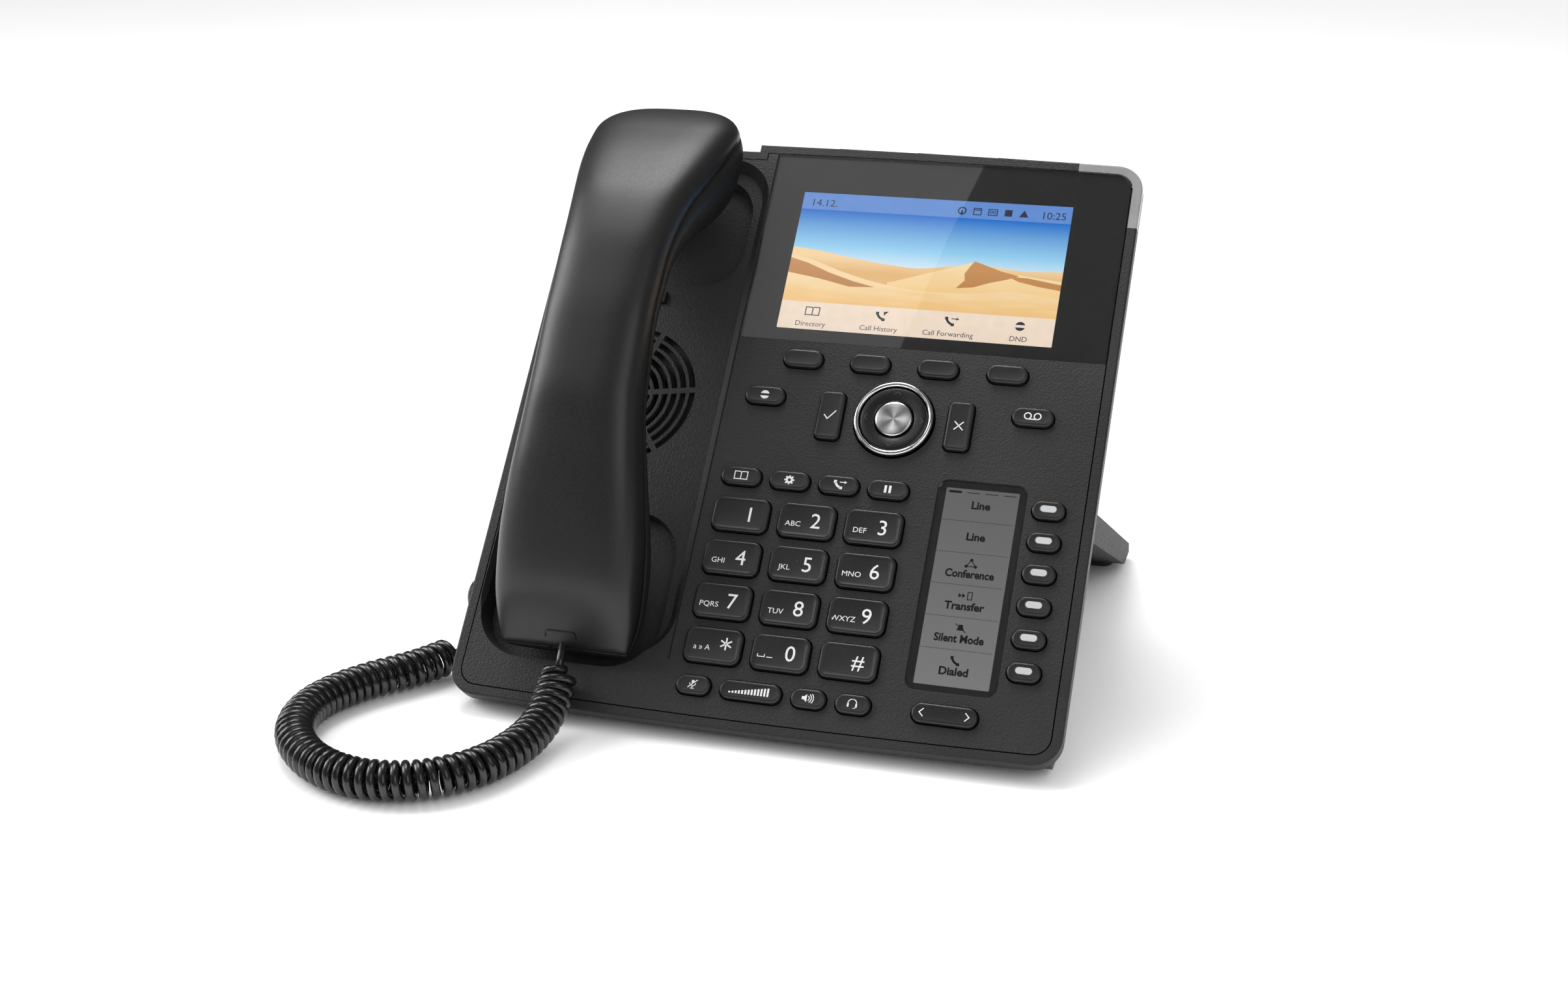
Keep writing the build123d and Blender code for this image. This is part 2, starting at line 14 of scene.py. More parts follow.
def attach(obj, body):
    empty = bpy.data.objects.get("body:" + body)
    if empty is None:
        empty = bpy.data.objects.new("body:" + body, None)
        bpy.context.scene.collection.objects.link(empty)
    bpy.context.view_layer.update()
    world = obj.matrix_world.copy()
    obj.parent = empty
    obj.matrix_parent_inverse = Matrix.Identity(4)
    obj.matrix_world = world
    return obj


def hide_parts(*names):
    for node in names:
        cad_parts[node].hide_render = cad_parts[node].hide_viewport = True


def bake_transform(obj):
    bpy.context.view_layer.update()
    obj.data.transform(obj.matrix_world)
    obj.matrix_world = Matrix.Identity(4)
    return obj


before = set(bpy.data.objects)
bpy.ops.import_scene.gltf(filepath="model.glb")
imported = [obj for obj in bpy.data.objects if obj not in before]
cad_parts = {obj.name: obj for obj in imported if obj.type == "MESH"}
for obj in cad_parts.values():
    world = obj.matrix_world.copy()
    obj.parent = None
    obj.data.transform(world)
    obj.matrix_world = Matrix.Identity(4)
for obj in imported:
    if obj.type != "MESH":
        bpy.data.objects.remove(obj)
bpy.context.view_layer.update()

# ---------------------------------------------------------------- the CAD model's own dimensions
TILT = radians(47.74)
BODY_H = 216.0
BACK_SHIFT, FRONT_LIFT = -28.4, 6.4
PANEL_Z = FRONT_LIFT + BODY_H / 2 * sin(TILT)
PANEL = (Matrix.Scale(0.001, 4) @ Matrix.Translation((0, BACK_SHIFT, PANEL_Z))
         @ Matrix.Rotation(TILT, 4, "X"))
KEY_TOP, KEY_SKIRT = 1.8, 3.4
KEY_DISH, DIAL_DISH = 0.12, 0.25      # depth of the hollow in the key tops
NAV = (31.1, 4.3)
NAV_R, NAV_RING, OK_R = 13.35, 1.6, 6.25
DISPLAY, DISPLAY_SIZE = (31.5, 63.0), (95.04, 53.86)
LABEL, LABEL_ACTIVE = (64.35, -50.9), (24.1, 67.3)
GLASS_T = 1.5
IMAGE_W = -GLASS_T - 0.142      # just above the display modules
HANDSET_X = -62.5
LINE_KEY_X, LINE_KEY_Y0, LINE_KEY_PITCH = 86.6, -23.0, 10.95

# ---------------------------------------------------------------- camera and light
CAMERA_AT = Vector((0.1782, -0.6660, 0.2982))
CAMERA_LOOKS = Vector((-0.2615, 0.9047, -0.3364))
LENS, SENSOR = 47.61, 36.0


def add_camera():
    data = bpy.data.cameras.new("camera")
    data.lens, data.sensor_width = LENS, SENSOR
    data.clip_start, data.clip_end = 0.01, 50
    camera = bpy.data.objects.new("camera", data)
    bpy.context.scene.collection.objects.link(camera)
    camera.location = CAMERA_AT
    camera.rotation_euler = CAMERA_LOOKS.to_track_quat("-Z", "Y").to_euler()
    bpy.context.scene.camera = camera


def area_light(name, place, target, size, power):
    data = bpy.data.lights.new(name, "AREA")
    data.shape, data.size, data.size_y = "RECTANGLE", size[0], size[1]
    data.energy = power
    lamp = bpy.data.objects.new(name, data)
    bpy.context.scene.collection.objects.link(lamp)
    lamp.location = place
    lamp.rotation_euler = (Vector(target) - Vector(place)).to_track_quat("-Z", "Y").to_euler()
    return lamp


# ---------------------------------------------------------------- materials
def new_material(name):
    material = bpy.data.materials.new(name)
    material.use_nodes = True
    return material, material.node_tree, material.node_tree.nodes["Principled BSDF"]


def node(tree, kind, **settings):
    made = tree.nodes.new("ShaderNode" + kind)
    for key, value in settings.items():
        if key in made.inputs:
            made.inputs[key].default_value = value
        else:
            setattr(made, key, value)
    return made


def noise(tree, scale, detail=3.0, stretch=None):
    """A noise texture in the object's own metres; scale is features per metre."""
    place = node(tree, "TexCoord")
    made = node(tree, "TexNoise", Scale=scale, Detail=detail)
    source = place.outputs["Object"]
    if stretch:
        mapping = node(tree, "Mapping")
        mapping.inputs["Scale"].default_value = stretch
        tree.links.new(source, mapping.inputs["Vector"])
        source = mapping.outputs["Vector"]
    tree.links.new(source, made.inputs["Vector"])
    return made


def ramp(tree, factor, stops):
    """A colour ramp on a factor output; stops are (position, grey or colour)."""
    made = node(tree, "ValToRGB")
    band = made.color_ramp
    while len(band.elements) < len(stops):
        band.elements.new(0.5)
    for element, (position, colour) in zip(band.elements, stops):
        element.position = position
        grey = (colour, colour, colour) if isinstance(colour, float) else colour
        element.color = (*grey, 1)
    tree.links.new(factor, made.inputs["Fac"])
    return made


def plastic(name, dark, light, rough, grain, depth, mottle=60.0, spread=0.08, specular=0.5):
    """Moulded plastic: a slow mottle of colour, and a fine grain in bump and roughness."""
    material, tree, shader = new_material(name)
    slow, fine = noise(tree, mottle, 2.0), noise(tree, grain, 2.0)
    colour = ramp(tree, slow.outputs["Fac"], [(0.35, dark), (0.65, light)])
    tree.links.new(colour.outputs["Color"], shader.inputs["Base Color"])
    sheen = ramp(tree, fine.outputs["Fac"], [(0.3, rough - spread), (0.7, rough + spread)])
    tree.links.new(sheen.outputs["Color"], shader.inputs["Roughness"])
    bump = node(tree, "Bump", Strength=depth, Distance=0.00012)
    tree.links.new(fine.outputs["Fac"], bump.inputs["Height"])
    tree.links.new(bump.outputs["Normal"], shader.inputs["Normal"])
    shader.inputs["Specular IOR Level"].default_value = specular
    return material


def leather_plastic(name, dark, light, rough, cell, depth, specular=0.35):
    """Spark-eroded plastic with a fine pebbled grain, as on the fascia."""
    material, tree, shader = new_material(name)
    place = node(tree, "TexCoord")
    pebbles = node(tree, "TexVoronoi", Scale=cell, feature="SMOOTH_F1", Smoothness=0.6)
    tree.links.new(place.outputs["Object"], pebbles.inputs["Vector"])
    fine, slow = noise(tree, cell * 2.3, 2.0), noise(tree, 25, 2.0)
    joined = node(tree, "Math", operation="ADD")
    tree.links.new(pebbles.outputs["Distance"], joined.inputs[0])
    tree.links.new(fine.outputs["Fac"], joined.inputs[1])
    colour = ramp(tree, slow.outputs["Fac"], [(0.3, dark), (0.7, light)])
    tree.links.new(colour.outputs["Color"], shader.inputs["Base Color"])
    sheen = ramp(tree, fine.outputs["Fac"], [(0.3, rough - 0.07), (0.7, rough + 0.07)])
    tree.links.new(sheen.outputs["Color"], shader.inputs["Roughness"])
    bump = node(tree, "Bump", Strength=depth, Distance=0.0002)
    tree.links.new(joined.outputs["Value"], bump.inputs["Height"])
    tree.links.new(bump.outputs["Normal"], shader.inputs["Normal"])
    shader.inputs["Specular IOR Level"].default_value = specular
    return material


def metal(name, colour, rough, stretch=None, depth=0.15):
    """Plated or brushed metal with fine wear in its roughness."""
    material, tree, shader = new_material(name)
    shader.inputs["Metallic"].default_value = 1.0
    tone = noise(tree, 900, 3.0, stretch)
    tint = ramp(tree, tone.outputs["Fac"], [(0.3, tuple(c * 0.82 for c in colour)), (0.7, colour)])
    tree.links.new(tint.outputs["Color"], shader.inputs["Base Color"])
    sheen = ramp(tree, tone.outputs["Fac"], [(0.3, max(0.04, rough - 0.06)), (0.7, rough + 0.06)])
    tree.links.new(sheen.outputs["Color"], shader.inputs["Roughness"])
    bump = node(tree, "Bump", Strength=depth, Distance=0.00004)
    tree.links.new(tone.outputs["Fac"], bump.inputs["Height"])
    tree.links.new(bump.outputs["Normal"], shader.inputs["Normal"])
    return material


def spun_metal(name, centre):
    """Brushed metal turned about the OK key's axis: streaks run round, and a painted highlight in its
    colour fans out in four lobes.
    """
    material, tree, shader = new_material(name)
    shader.inputs["Metallic"].default_value = 1.0
    place = node(tree, "TexCoord")
    shift = node(tree, "Mapping")
    shift.inputs["Location"].default_value = tuple(-v for v in Matrix.Rotation(-TILT, 3, "X") @ centre)
    shift.inputs["Rotation"].default_value = (-TILT, 0, 0)
    tree.links.new(place.outputs["Object"], shift.inputs["Vector"])
    split = node(tree, "SeparateXYZ")
    tree.links.new(shift.outputs["Vector"], split.inputs["Vector"])
    angle = node(tree, "Math", operation="ARCTAN2")
    tree.links.new(split.outputs["Y"], angle.inputs[0])
    tree.links.new(split.outputs["X"], angle.inputs[1])
    # Painted highlight: the base colour runs light and dark four times round the key, standing in for the
    # fan of light the spun streaks catch.
    wave = node(tree, "Math", operation="MULTIPLY")
    wave.inputs[1].default_value = 4.0
    tree.links.new(angle.outputs["Value"], wave.inputs[0])
    painted_highlight_fan = node(tree, "Math", operation="COSINE")
    tree.links.new(wave.outputs["Value"], painted_highlight_fan.inputs[0])
    shade = node(tree, "MapRange")
    shade.inputs["From Min"].default_value = -1.0
    tree.links.new(painted_highlight_fan.outputs["Value"], shade.inputs["Value"])
    tint = ramp(tree, shade.outputs["Result"], [(0.0, 0.33), (0.55, 0.62), (1.0, 0.95)])
    tree.links.new(tint.outputs["Color"], shader.inputs["Base Color"])
    shader.inputs["Roughness"].default_value = 0.28
    rings = node(tree, "TexWave", wave_type="RINGS", rings_direction="Z", Scale=1400.0)
    tree.links.new(shift.outputs["Vector"], rings.inputs["Vector"])
    bump = node(tree, "Bump", Strength=0.25, Distance=0.00003)
    tree.links.new(rings.outputs["Fac"], bump.inputs["Height"])
    tree.links.new(bump.outputs["Normal"], shader.inputs["Normal"])
    return material


def glass(name, tint=(1.0, 1.0, 1.0), rough=0.0):
    """Clear cover glass; a faint smear in its roughness keeps it from looking empty."""
    material, tree, shader = new_material(name)
    shader.inputs["Transmission Weight"].default_value = 1.0
    shader.inputs["IOR"].default_value = 1.5
    smear = noise(tree, 40, 3.0, (1, 3, 1))
    sheen = ramp(tree, smear.outputs["Fac"], [(0.45, rough), (0.8, rough + 0.03)])
    tree.links.new(sheen.outputs["Color"], shader.inputs["Roughness"])
    shade = ramp(tree, smear.outputs["Fac"], [(0.2, tint), (0.8, tuple(c * 0.98 for c in tint))])
    tree.links.new(shade.outputs["Color"], shader.inputs["Base Color"])
    return material


def glow(name, stops, axis, low, high, strength=1.0, ripple=0.0, ripple_scale=200.0):
    """Backlit colour: a ramp along one panel axis between two places, with optional ripples."""
    material, tree, shader = new_material(name)
    place = node(tree, "TexCoord")
    split = node(tree, "SeparateXYZ")
    tree.links.new(place.outputs["Object"], split.inputs["Vector"])
    source = split.outputs["X"] if axis == "x" else split.outputs["Z"]
    start, end = (PANEL @ Vector((v, v, IMAGE_W)) for v in (low, high))
    index = 0 if axis == "x" else 2
    span = node(tree, "MapRange")
    span.inputs["From Min"].default_value = start[index]
    span.inputs["From Max"].default_value = end[index]
    tree.links.new(source, span.inputs["Value"])
    factor = span.outputs["Result"]
    if ripple:
        waves = noise(tree, ripple_scale, 4.0, (0.25, 1.0, 2.2))
        mix = node(tree, "Math", operation="MULTIPLY_ADD")
        mix.inputs[1].default_value = ripple
        tree.links.new(waves.outputs["Fac"], mix.inputs[0])
        tree.links.new(factor, mix.inputs[2])
        factor = mix.outputs["Value"]
    tint = ramp(tree, factor, stops)
    shader.inputs["Base Color"].default_value = (0, 0, 0, 1)
    tree.links.new(tint.outputs["Color"], shader.inputs["Emission Color"])
    shader.inputs["Emission Strength"].default_value = strength
    shader.inputs["Roughness"].default_value = 0.6
    shader.inputs["Specular IOR Level"].default_value = 0.1
    return material


def flat_glow(name, colour, strength=1.0, alpha=1.0):
    """A small even backlit mark, with a trace of unevenness."""
    material, tree, shader = new_material(name)
    tone = noise(tree, 300, 1.0)
    tint = ramp(tree, tone.outputs["Fac"], [(0.3, tuple(c * 0.93 for c in colour)), (0.7, colour)])
    shader.inputs["Base Color"].default_value = (0, 0, 0, 1)
    tree.links.new(tint.outputs["Color"], shader.inputs["Emission Color"])
    shader.inputs["Emission Strength"].default_value = strength
    shader.inputs["Specular IOR Level"].default_value = 0.1
    shader.inputs["Alpha"].default_value = alpha
    return material


def ink(name, level, rough=0.5):
    """Pad-printed legend ink."""
    material, tree, shader = new_material(name)
    tone = noise(tree, 4000, 2.0)
    tint = ramp(tree, tone.outputs["Fac"], [(0.3, level * 0.9), (0.7, level)])
    tree.links.new(tint.outputs["Color"], shader.inputs["Base Color"])
    shader.inputs["Roughness"].default_value = rough
    return material


# ---------------------------------------------------------------- mesh helpers
def add_mesh(name, points, faces, material, body, smooth=True, matrix=PANEL):
    """A mesh piece from panel-frame points, riding on a body."""
    mesh = bpy.data.meshes.new(name)
    mesh.from_pydata([tuple(matrix @ Vector(p)) for p in points], [], faces)
    mesh.validate()
    for face in mesh.polygons:
        face.use_smooth = smooth
    mesh.materials.append(material)
    piece = bpy.data.objects.new(name, mesh)
    bpy.context.scene.collection.objects.link(piece)
    if body:
        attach(piece, body)
    return piece


def rounded_outline(cx, cy, width, height, radius, steps=8):
    """Points anticlockwise round a rounded rectangle."""
    radius = max(0.01, min(radius, width / 2 - 0.01, height / 2 - 0.01))
    points = []
    for corner in range(4):
        sx, sy = ((1, 1), (-1, 1), (-1, -1), (1, -1))[corner]
        ox, oy = cx + sx * (width / 2 - radius), cy + sy * (height / 2 - radius)
        for i in range(steps + 1):
            angle = pi / 2 * (corner + i / steps)
            points.append((ox + radius * cos(angle), oy + radius * sin(angle)))
    return points


def stack(rings, close_top=True, close_bottom=True):
    """Points and faces of a tube through rings of equal length, capped at its ends."""
    count = len(rings[0])
    points = [p for ring in rings for p in ring]
    faces = []
    for level in range(len(rings) - 1):
        a, b = level * count, (level + 1) * count
        for i in range(count):
            j = (i + 1) % count
            faces.append((a + i, a + j, b + j, b + i))
    if close_bottom:
        faces.append(tuple(reversed(range(count))))
    if close_top:
        last = (len(rings) - 1) * count
        faces.append(tuple(range(last, last + count)))
    return points, faces


def cap_rings(cx, cy, width, height, radius, bottom, top, edge, dish=0.0):
    """Rings of a key cap: straight skirt, rounded top edge, and a slightly dished top."""
    rings = []

    def ring(inset, level):
        outline = rounded_outline(cx, cy, width - 2 * inset, height - 2 * inset, radius - inset)
        rings.append([(x, y, level) for x, y in outline])
    ring(0, bottom)
    ring(0, top - edge - 0.3)
    for i in range(7):
        angle = pi / 2 * i / 6
        ring(edge * (1 - cos(angle)), top - edge * (1 - sin(angle)))
    ring(edge + 0.25, top - dish * 0.3)
    ring(edge + 0.9, top - dish)
    return rings


# ---------------------------------------------------------------- printed marks, drawn flat
def stroke(points, width, closed=False):
    """A ribbon of one width along a line of points, with mitred corners."""
    line = [Vector(p) for p in points]
    count = len(line)
    left, right = [], []
    for i, here in enumerate(line):
        before = line[i - 1] if closed or i > 0 else None
        after = line[(i + 1) % count] if closed or i < count - 1 else None
        a = (here - before).normalized() if before is not None else (after - here).normalized()
        b = (after - here).normalized() if after is not None else a
        along = (a + b).normalized() if (a + b).length > 1e-6 else a
        normal = Vector((-along.y, along.x))
        reach = width / 2 / max(0.35, normal.dot(Vector((-a.y, a.x))))
        left.append(tuple(here + normal * reach))
        right.append(tuple(here - normal * reach))
    faces = [(i, i + 1, count + i + 1, count + i) for i in range(count - 1)]
    if closed:
        faces.append((count - 1, 0, count, 2 * count - 1))
    return left + right, [tuple(reversed(f)) for f in faces]


def polygon(points):
    return list(points), [tuple(range(len(points)))]


def arc(cx, cy, radius, start, end, steps=24):
    angles = [radians(start + (end - start) * i / steps) for i in range(steps + 1)]
    return [(cx + radius * cos(a), cy + radius * sin(a)) for a in angles]


def disc(cx, cy, radius):
    return polygon(arc(cx, cy, radius, 0, 345, 23))


def ring_mark(cx, cy, radius, width):
    return stroke(arc(cx, cy, radius, 0, 345, 23), width, closed=True)


def bar(cx, cy, width, height):
    w, h = width / 2, height / 2
    return polygon([(cx - w, cy - h), (cx + w, cy - h), (cx + w, cy + h), (cx - w, cy + h)])


def text(words, x, y, size, align="CENTER", width=1.0, weight=0.0):
    """Lettering as a flat mesh; x and y are the middle, or the left end, of its base line."""
    curve = bpy.data.curves.new("lettering", "FONT")
    curve.body, curve.size, curve.align_x = words, size, align
    curve.resolution_u, curve.offset = 3, weight
    holder = bpy.data.objects.new("lettering", curve)
    mesh = bpy.data.meshes.new_from_object(holder)
    points = [(x + v.co.x * width, y + v.co.y) for v in mesh.vertices]
    faces = [tuple(p.vertices) for p in mesh.polygons]
    bpy.data.objects.remove(holder)
    bpy.data.curves.remove(curve)
    bpy.data.meshes.remove(mesh)
    return points, faces


def moved(shape, dx, dy, scale=1.0):
    points, faces = shape
    return [(dx + px * scale, dy + py * scale) for px, py in points], faces


def print_marks(name, shapes, level, material, body):
    """Several flat marks as one piece, lying at one height over the panel."""
    points, faces = [], []
    for shape_points, shape_faces in shapes:
        start = len(points)
        points += [(x, y, level) for x, y in shape_points]
        faces += [tuple(start + i for i in f) for f in shape_faces]
    return add_mesh(name, points, faces, material, body, smooth=False)


def book_icon():
    left = stroke([(0, -1.3), (-2.2, -1.3), (-2.2, 1.4), (-0.4, 1.4), (0, 1.1), (0, -1.3)], 0.32)
    right = stroke([(0, -1.3), (2.2, -1.3), (2.2, 1.4), (0.4, 1.4), (0, 1.1)], 0.32)
    return [left, right]


def gear_icon():
    teeth = []
    for i in range(8):
        base = 45 * i
        for offset, radius in ((-13, 1.25), (-9, 1.75), (9, 1.75), (13, 1.25)):
            angle = radians(base + offset)
            teeth.append((radius * cos(angle), radius * sin(angle)))
    inner = [(0.55 * cos(radians(360 * i / 32)), 0.55 * sin(radians(360 * i / 32))) for i in range(32)]
    faces = [(i, (i + 1) % 32, 32 + (i + 1) % 32, 32 + i) for i in range(32)]
    return [(teeth + inner, faces)]


def receiver_icon():
    """A small telephone receiver lying on a slant."""
    body = stroke(arc(1.5, 1.5, 2.6, 195, 255, 10), 0.75)
    return [body, bar(-1.1, 1.0, 1.0, 1.0), bar(1.0, -1.15, 1.0, 1.0)]


def transfer_icon():
    arrow = [stroke([(0.4, 0.9), (2.2, 0.9)], 0.3), polygon([(2.0, 0.4), (2.9, 0.9), (2.0, 1.4)])]
    return receiver_icon() + arrow


def pause_icon():
    return [bar(-0.75, 0, 0.8, 2.6), bar(0.75, 0, 0.8, 2.6)]


def dnd_icon():
    upper = polygon(arc(0, 0, 1.55, 16, 164, 16))
    lower = polygon(arc(0, 0, 1.55, 196, 344, 16))
    return [upper, lower]


def voicemail_icon():
    return [ring_mark(-1.6, 0.15, 1.1, 0.38), ring_mark(1.6, 0.15, 1.1, 0.38), bar(0, -0.95, 3.2, 0.38)]


def check_icon():
    return [stroke([(-1.9, 0.0), (-0.6, -1.5), (2.0, 1.7)], 0.38)]


def cross_icon():
    return [stroke([(-1.5, -1.5), (1.5, 1.5)], 0.38), stroke([(-1.5, 1.5), (1.5, -1.5)], 0.38)]


def mute_icon():
    capsule = stroke([(0, 0.4), (0, 1.3)], 0.9)
    cradle = stroke(arc(0, 0.4, 1.0, 180, 360, 12), 0.25)
    stem = stroke([(0, -0.6), (0, -1.4)], 0.25)
    return [capsule, cradle, stem, stroke([(-0.6, -1.4), (-0.2, -1.4), (0.6, -1.4)], 0.25),
            stroke([(-1.5, -1.2), (1.5, 1.6)], 0.28)]


def speaker_icon():
    cone = polygon([(-1.9, -0.5), (-1.2, -0.5), (-0.3, -1.3), (-0.3, 1.3), (-1.2, 0.5), (-1.9, 0.5)])
    waves = [stroke(arc(-0.5, 0, r, -50, 50, 10), 0.28) for r in (1.0, 1.7, 2.4)]
    return [cone] + waves


def headset_icon():
    band = stroke(arc(0, 0.1, 1.4, -10, 190, 16), 0.28)
    boom = stroke([(1.3, -0.9), (0.9, -1.5), (0.2, -1.6)], 0.25)
    return [band, bar(-1.35, -0.5, 0.55, 1.2), bar(1.35, -0.5, 0.55, 1.2), boom]


def star_mark():
    strokes = []
    for i in range(3):
        angle = radians(90 + 60 * i)
        dx, dy = 2.1 * cos(angle), 2.1 * sin(angle)
        strokes.append(stroke([(-dx, -dy), (dx, dy)], 0.5))
    return strokes


def volume_bars():
    return [bar(-6.6 + 1.05 * i, -1.25 + (0.5 + 0.19 * i) / 2, 0.62, 0.5 + 0.19 * i) for i in range(13)]


# ---------------------------------------------------------------- the materials in use
FASCIA = leather_plastic("fascia_plastic", 0.014, 0.019, 0.47, 1500, 0.55)
FRAME = leather_plastic("frame_plastic", 0.013, 0.018, 0.44, 1700, 0.45)
COVER = plastic("cover_plastic", 0.012, 0.018, 0.5, 1400, 0.5)
STAND = plastic("stand_plastic", 0.005, 0.008, 0.55, 1400, 0.4, specular=0.22)
KEY = plastic("key_plastic", 0.010, 0.014, 0.36, 2600, 0.14)
HANDSET = plastic("handset_plastic", 0.006, 0.009, 0.40, 3200, 0.10, mottle=18)
HANDSET_FRONT = plastic("handset_front_plastic", 0.006, 0.009, 0.44, 2600, 0.2, mottle=18)
NAV_BLACK = plastic("nav_black", 0.007, 0.010, 0.25, 2600, 0.08)
CHROME = metal("trim_chrome", (0.86, 0.86, 0.88), 0.12)
STEEL = metal("zinc_steel", (0.55, 0.55, 0.57), 0.35)
SPUN = spun_metal("spun_aluminium", PANEL @ Vector((NAV[0], NAV[1], 0)))
GLASS = glass("cover_glass")
LABEL_GLASS = glass("label_glass", rough=0.02)
LIGHT_LENS = plastic("light_lens", 0.20, 0.27, 0.22, 500, 0.03, mottle=30, specular=0.6)
MASK = plastic("glass_mask_ink", 0.004, 0.006, 0.5, 900, 0.05)
RUBBER = plastic("pad_rubber", 0.010, 0.016, 0.75, 1800, 0.6)
CORD = plastic("cord_jacket", 0.005, 0.008, 0.24, 1200, 0.05, mottle=90, specular=0.6)
PLUG = plastic("plug_plastic", 0.012, 0.02, 0.2, 900, 0.05)
JACK = plastic("jack_plastic", 0.006, 0.009, 0.35, 1800, 0.1)
BOARD = plastic("circuit_board", 0.015, 0.03, 0.4, 700, 0.2)
LEGEND = ink("legend_ink", 0.62)
ENGRAVED = ink("engraved_dark", 0.03)
LED = flat_glow("key_led", (0.86, 0.88, 0.90), 0.72)
STICKER = ink("rating_sticker", 0.55, 0.4)

CAD_LOOKS = {
    "front_frame": FRAME, "front_panel": FASCIA, "rear_cover": COVER, "foot_stand": STAND,
    "rubber_feet": RUBBER, "housing_screws": STEEL, "display_lens": GLASS, "label_lens": LABEL_GLASS,
    "alert_light": LIGHT_LENS, "display_modules": MASK, "keypad_membrane": RUBBER, "main_board": BOARD,
    "loudspeaker": RUBBER, "jack_blocks": JACK, "hook_switch": KEY, "handset_capsules": STEEL,
    "handset_plug": PLUG, "base_plug": PLUG,
}


def dress_cad():
    """The carried-over CAD nodes take their materials."""
    for name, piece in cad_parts.items():
        look = CAD_LOOKS.get(name, KEY)
        piece.data.materials.clear()
        piece.data.materials.append(look)


# ---------------------------------------------------------------- keys
STADIUM = (13.7, 6.4)
KEYS = {}


def add_key(name, x, y, size=STADIUM, radius=3.2):
    KEYS[name] = (x, y, size[0], size[1], radius)


for i in range(4):
    add_key(f"soft_key_{i + 1}", -3.7 + 23.33 * i, 23.9)
    add_key(f"function_key_{i + 1}", -16.5 + 16.7 * i, -21.1)
add_key("dnd_key", -14.2, 9.1)
add_key("voicemail_key", 76.9, 9.2)
add_key("confirm_key", 9.4, 3.7, (8.4, 17.4), 2.0)
add_key("cancel_key", 53.2, 3.7, (8.4, 17.4), 2.0)
DIAL = [("1", ""), ("2", "ABC"), ("3", "DEF"), ("4", "GHI"), ("5", "JKL"), ("6", "MNO"),
        ("7", "PQRS"), ("8", "TUV"), ("9", "WXYZ"), ("star", ""), ("0", ""), ("hash", "")]
for i, (digit, _) in enumerate(DIAL):
    add_key(f"dial_key_{digit}", -13.9 + 22.5 * (i % 3), -34.9 - 15.33 * (i // 3), (19.1, 12.0), 3.0)
add_key("mute_key", -17.8, -94.6, (11.4, 6.3))
add_key("speaker_key", 20.4, -94.6, (11.4, 6.3))
add_key("headset_key", 34.9, -94.6, (11.4, 6.3))
for i in range(6):
    add_key(f"line_key_{i + 1}", LINE_KEY_X, LINE_KEY_Y0 - LINE_KEY_PITCH * i, (10.7, 6.3))
add_key("volume_rocker", 1.3, -94.6, (20.4, 6.3), 3.1)
add_key("page_rocker", 64.2, -94.5, (20.9, 6.4), 3.1)


def build_keys():
    """Every key cap: a skirt, a full round edge and a slightly dished top."""
    for name, (x, y, width, height, radius) in KEYS.items():
        dish = DIAL_DISH if name.startswith("dial") else KEY_DISH
        rings = cap_rings(x, y, width, height, radius, -KEY_SKIRT, KEY_TOP, 0.85, dish)
        points, faces = stack(rings)
        cap = add_mesh(name + "_cap", points, faces, KEY, name)
        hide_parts(name)


def key_level(dish=KEY_DISH):
    return KEY_TOP - dish + 0.015


def build_legends():
    """Printed marks on the keys, each riding on its key."""
    icons = {
        "function_key_1": book_icon(), "function_key_2": gear_icon(), "function_key_3": transfer_icon(),
        "function_key_4": pause_icon(), "dnd_key": dnd_icon(), "voicemail_key": voicemail_icon(),
        "confirm_key": check_icon(), "cancel_key": cross_icon(), "mute_key": mute_icon(),
        "volume_rocker": volume_bars(), "speaker_key": speaker_icon(), "headset_key": headset_icon(),
    }
    icons["page_rocker"] = [stroke([(side * 6.6, 1.3), (side * 7.9, 0), (side * 6.6, -1.3)], 0.32)
                            for side in (-1, 1)]
    for name, shapes in icons.items():
        x, y = KEYS[name][:2]
        placed = [moved(shape, x, y) for shape in shapes]
        print_marks(name + "_legend", placed, key_level(), LEGEND, name)
    for digit, letters in DIAL:
        name = f"dial_key_{digit}"
        x, y = KEYS[name][:2]
        if digit == "star":
            shapes = [moved(s, x + 4.3, y + 0.9) for s in star_mark()]
            shapes += [text("a » A", x - 3.6, y - 1.7, 2.6)]
        elif digit == "hash":
            shapes = [text("#", x + 3.2, y - 2.4, 7.0)]
        elif digit == "0":
            shapes = [text("0", x + 3.4, y - 2.4, 7.4)]
            tray = [(x - 7.2, y - 0.9), (x - 7.2, y - 1.8), (x - 4.9, y - 1.8), (x - 4.9, y - 0.9)]
            shapes += [stroke(tray, 0.25), stroke([(x - 4.2, y - 1.8), (x - 2.2, y - 1.8)], 0.25)]
        else:
            shapes = [text(digit, x + 3.2, y - 2.4, 7.4)]
            if letters:
                shapes.append(text(letters, x - 4.3, y - 2.2, 2.55, width=1.08))
        print_marks(name + "_legend", shapes, key_level(DIAL_DISH), LEGEND, name)


# suffix, (width, height), level over the dished key top, material
WINDOW_PARTS = [("_window_rim", (5.9, 2.9), 0.02, ENGRAVED), ("_window", (5.2, 2.2), 0.14, LED)]


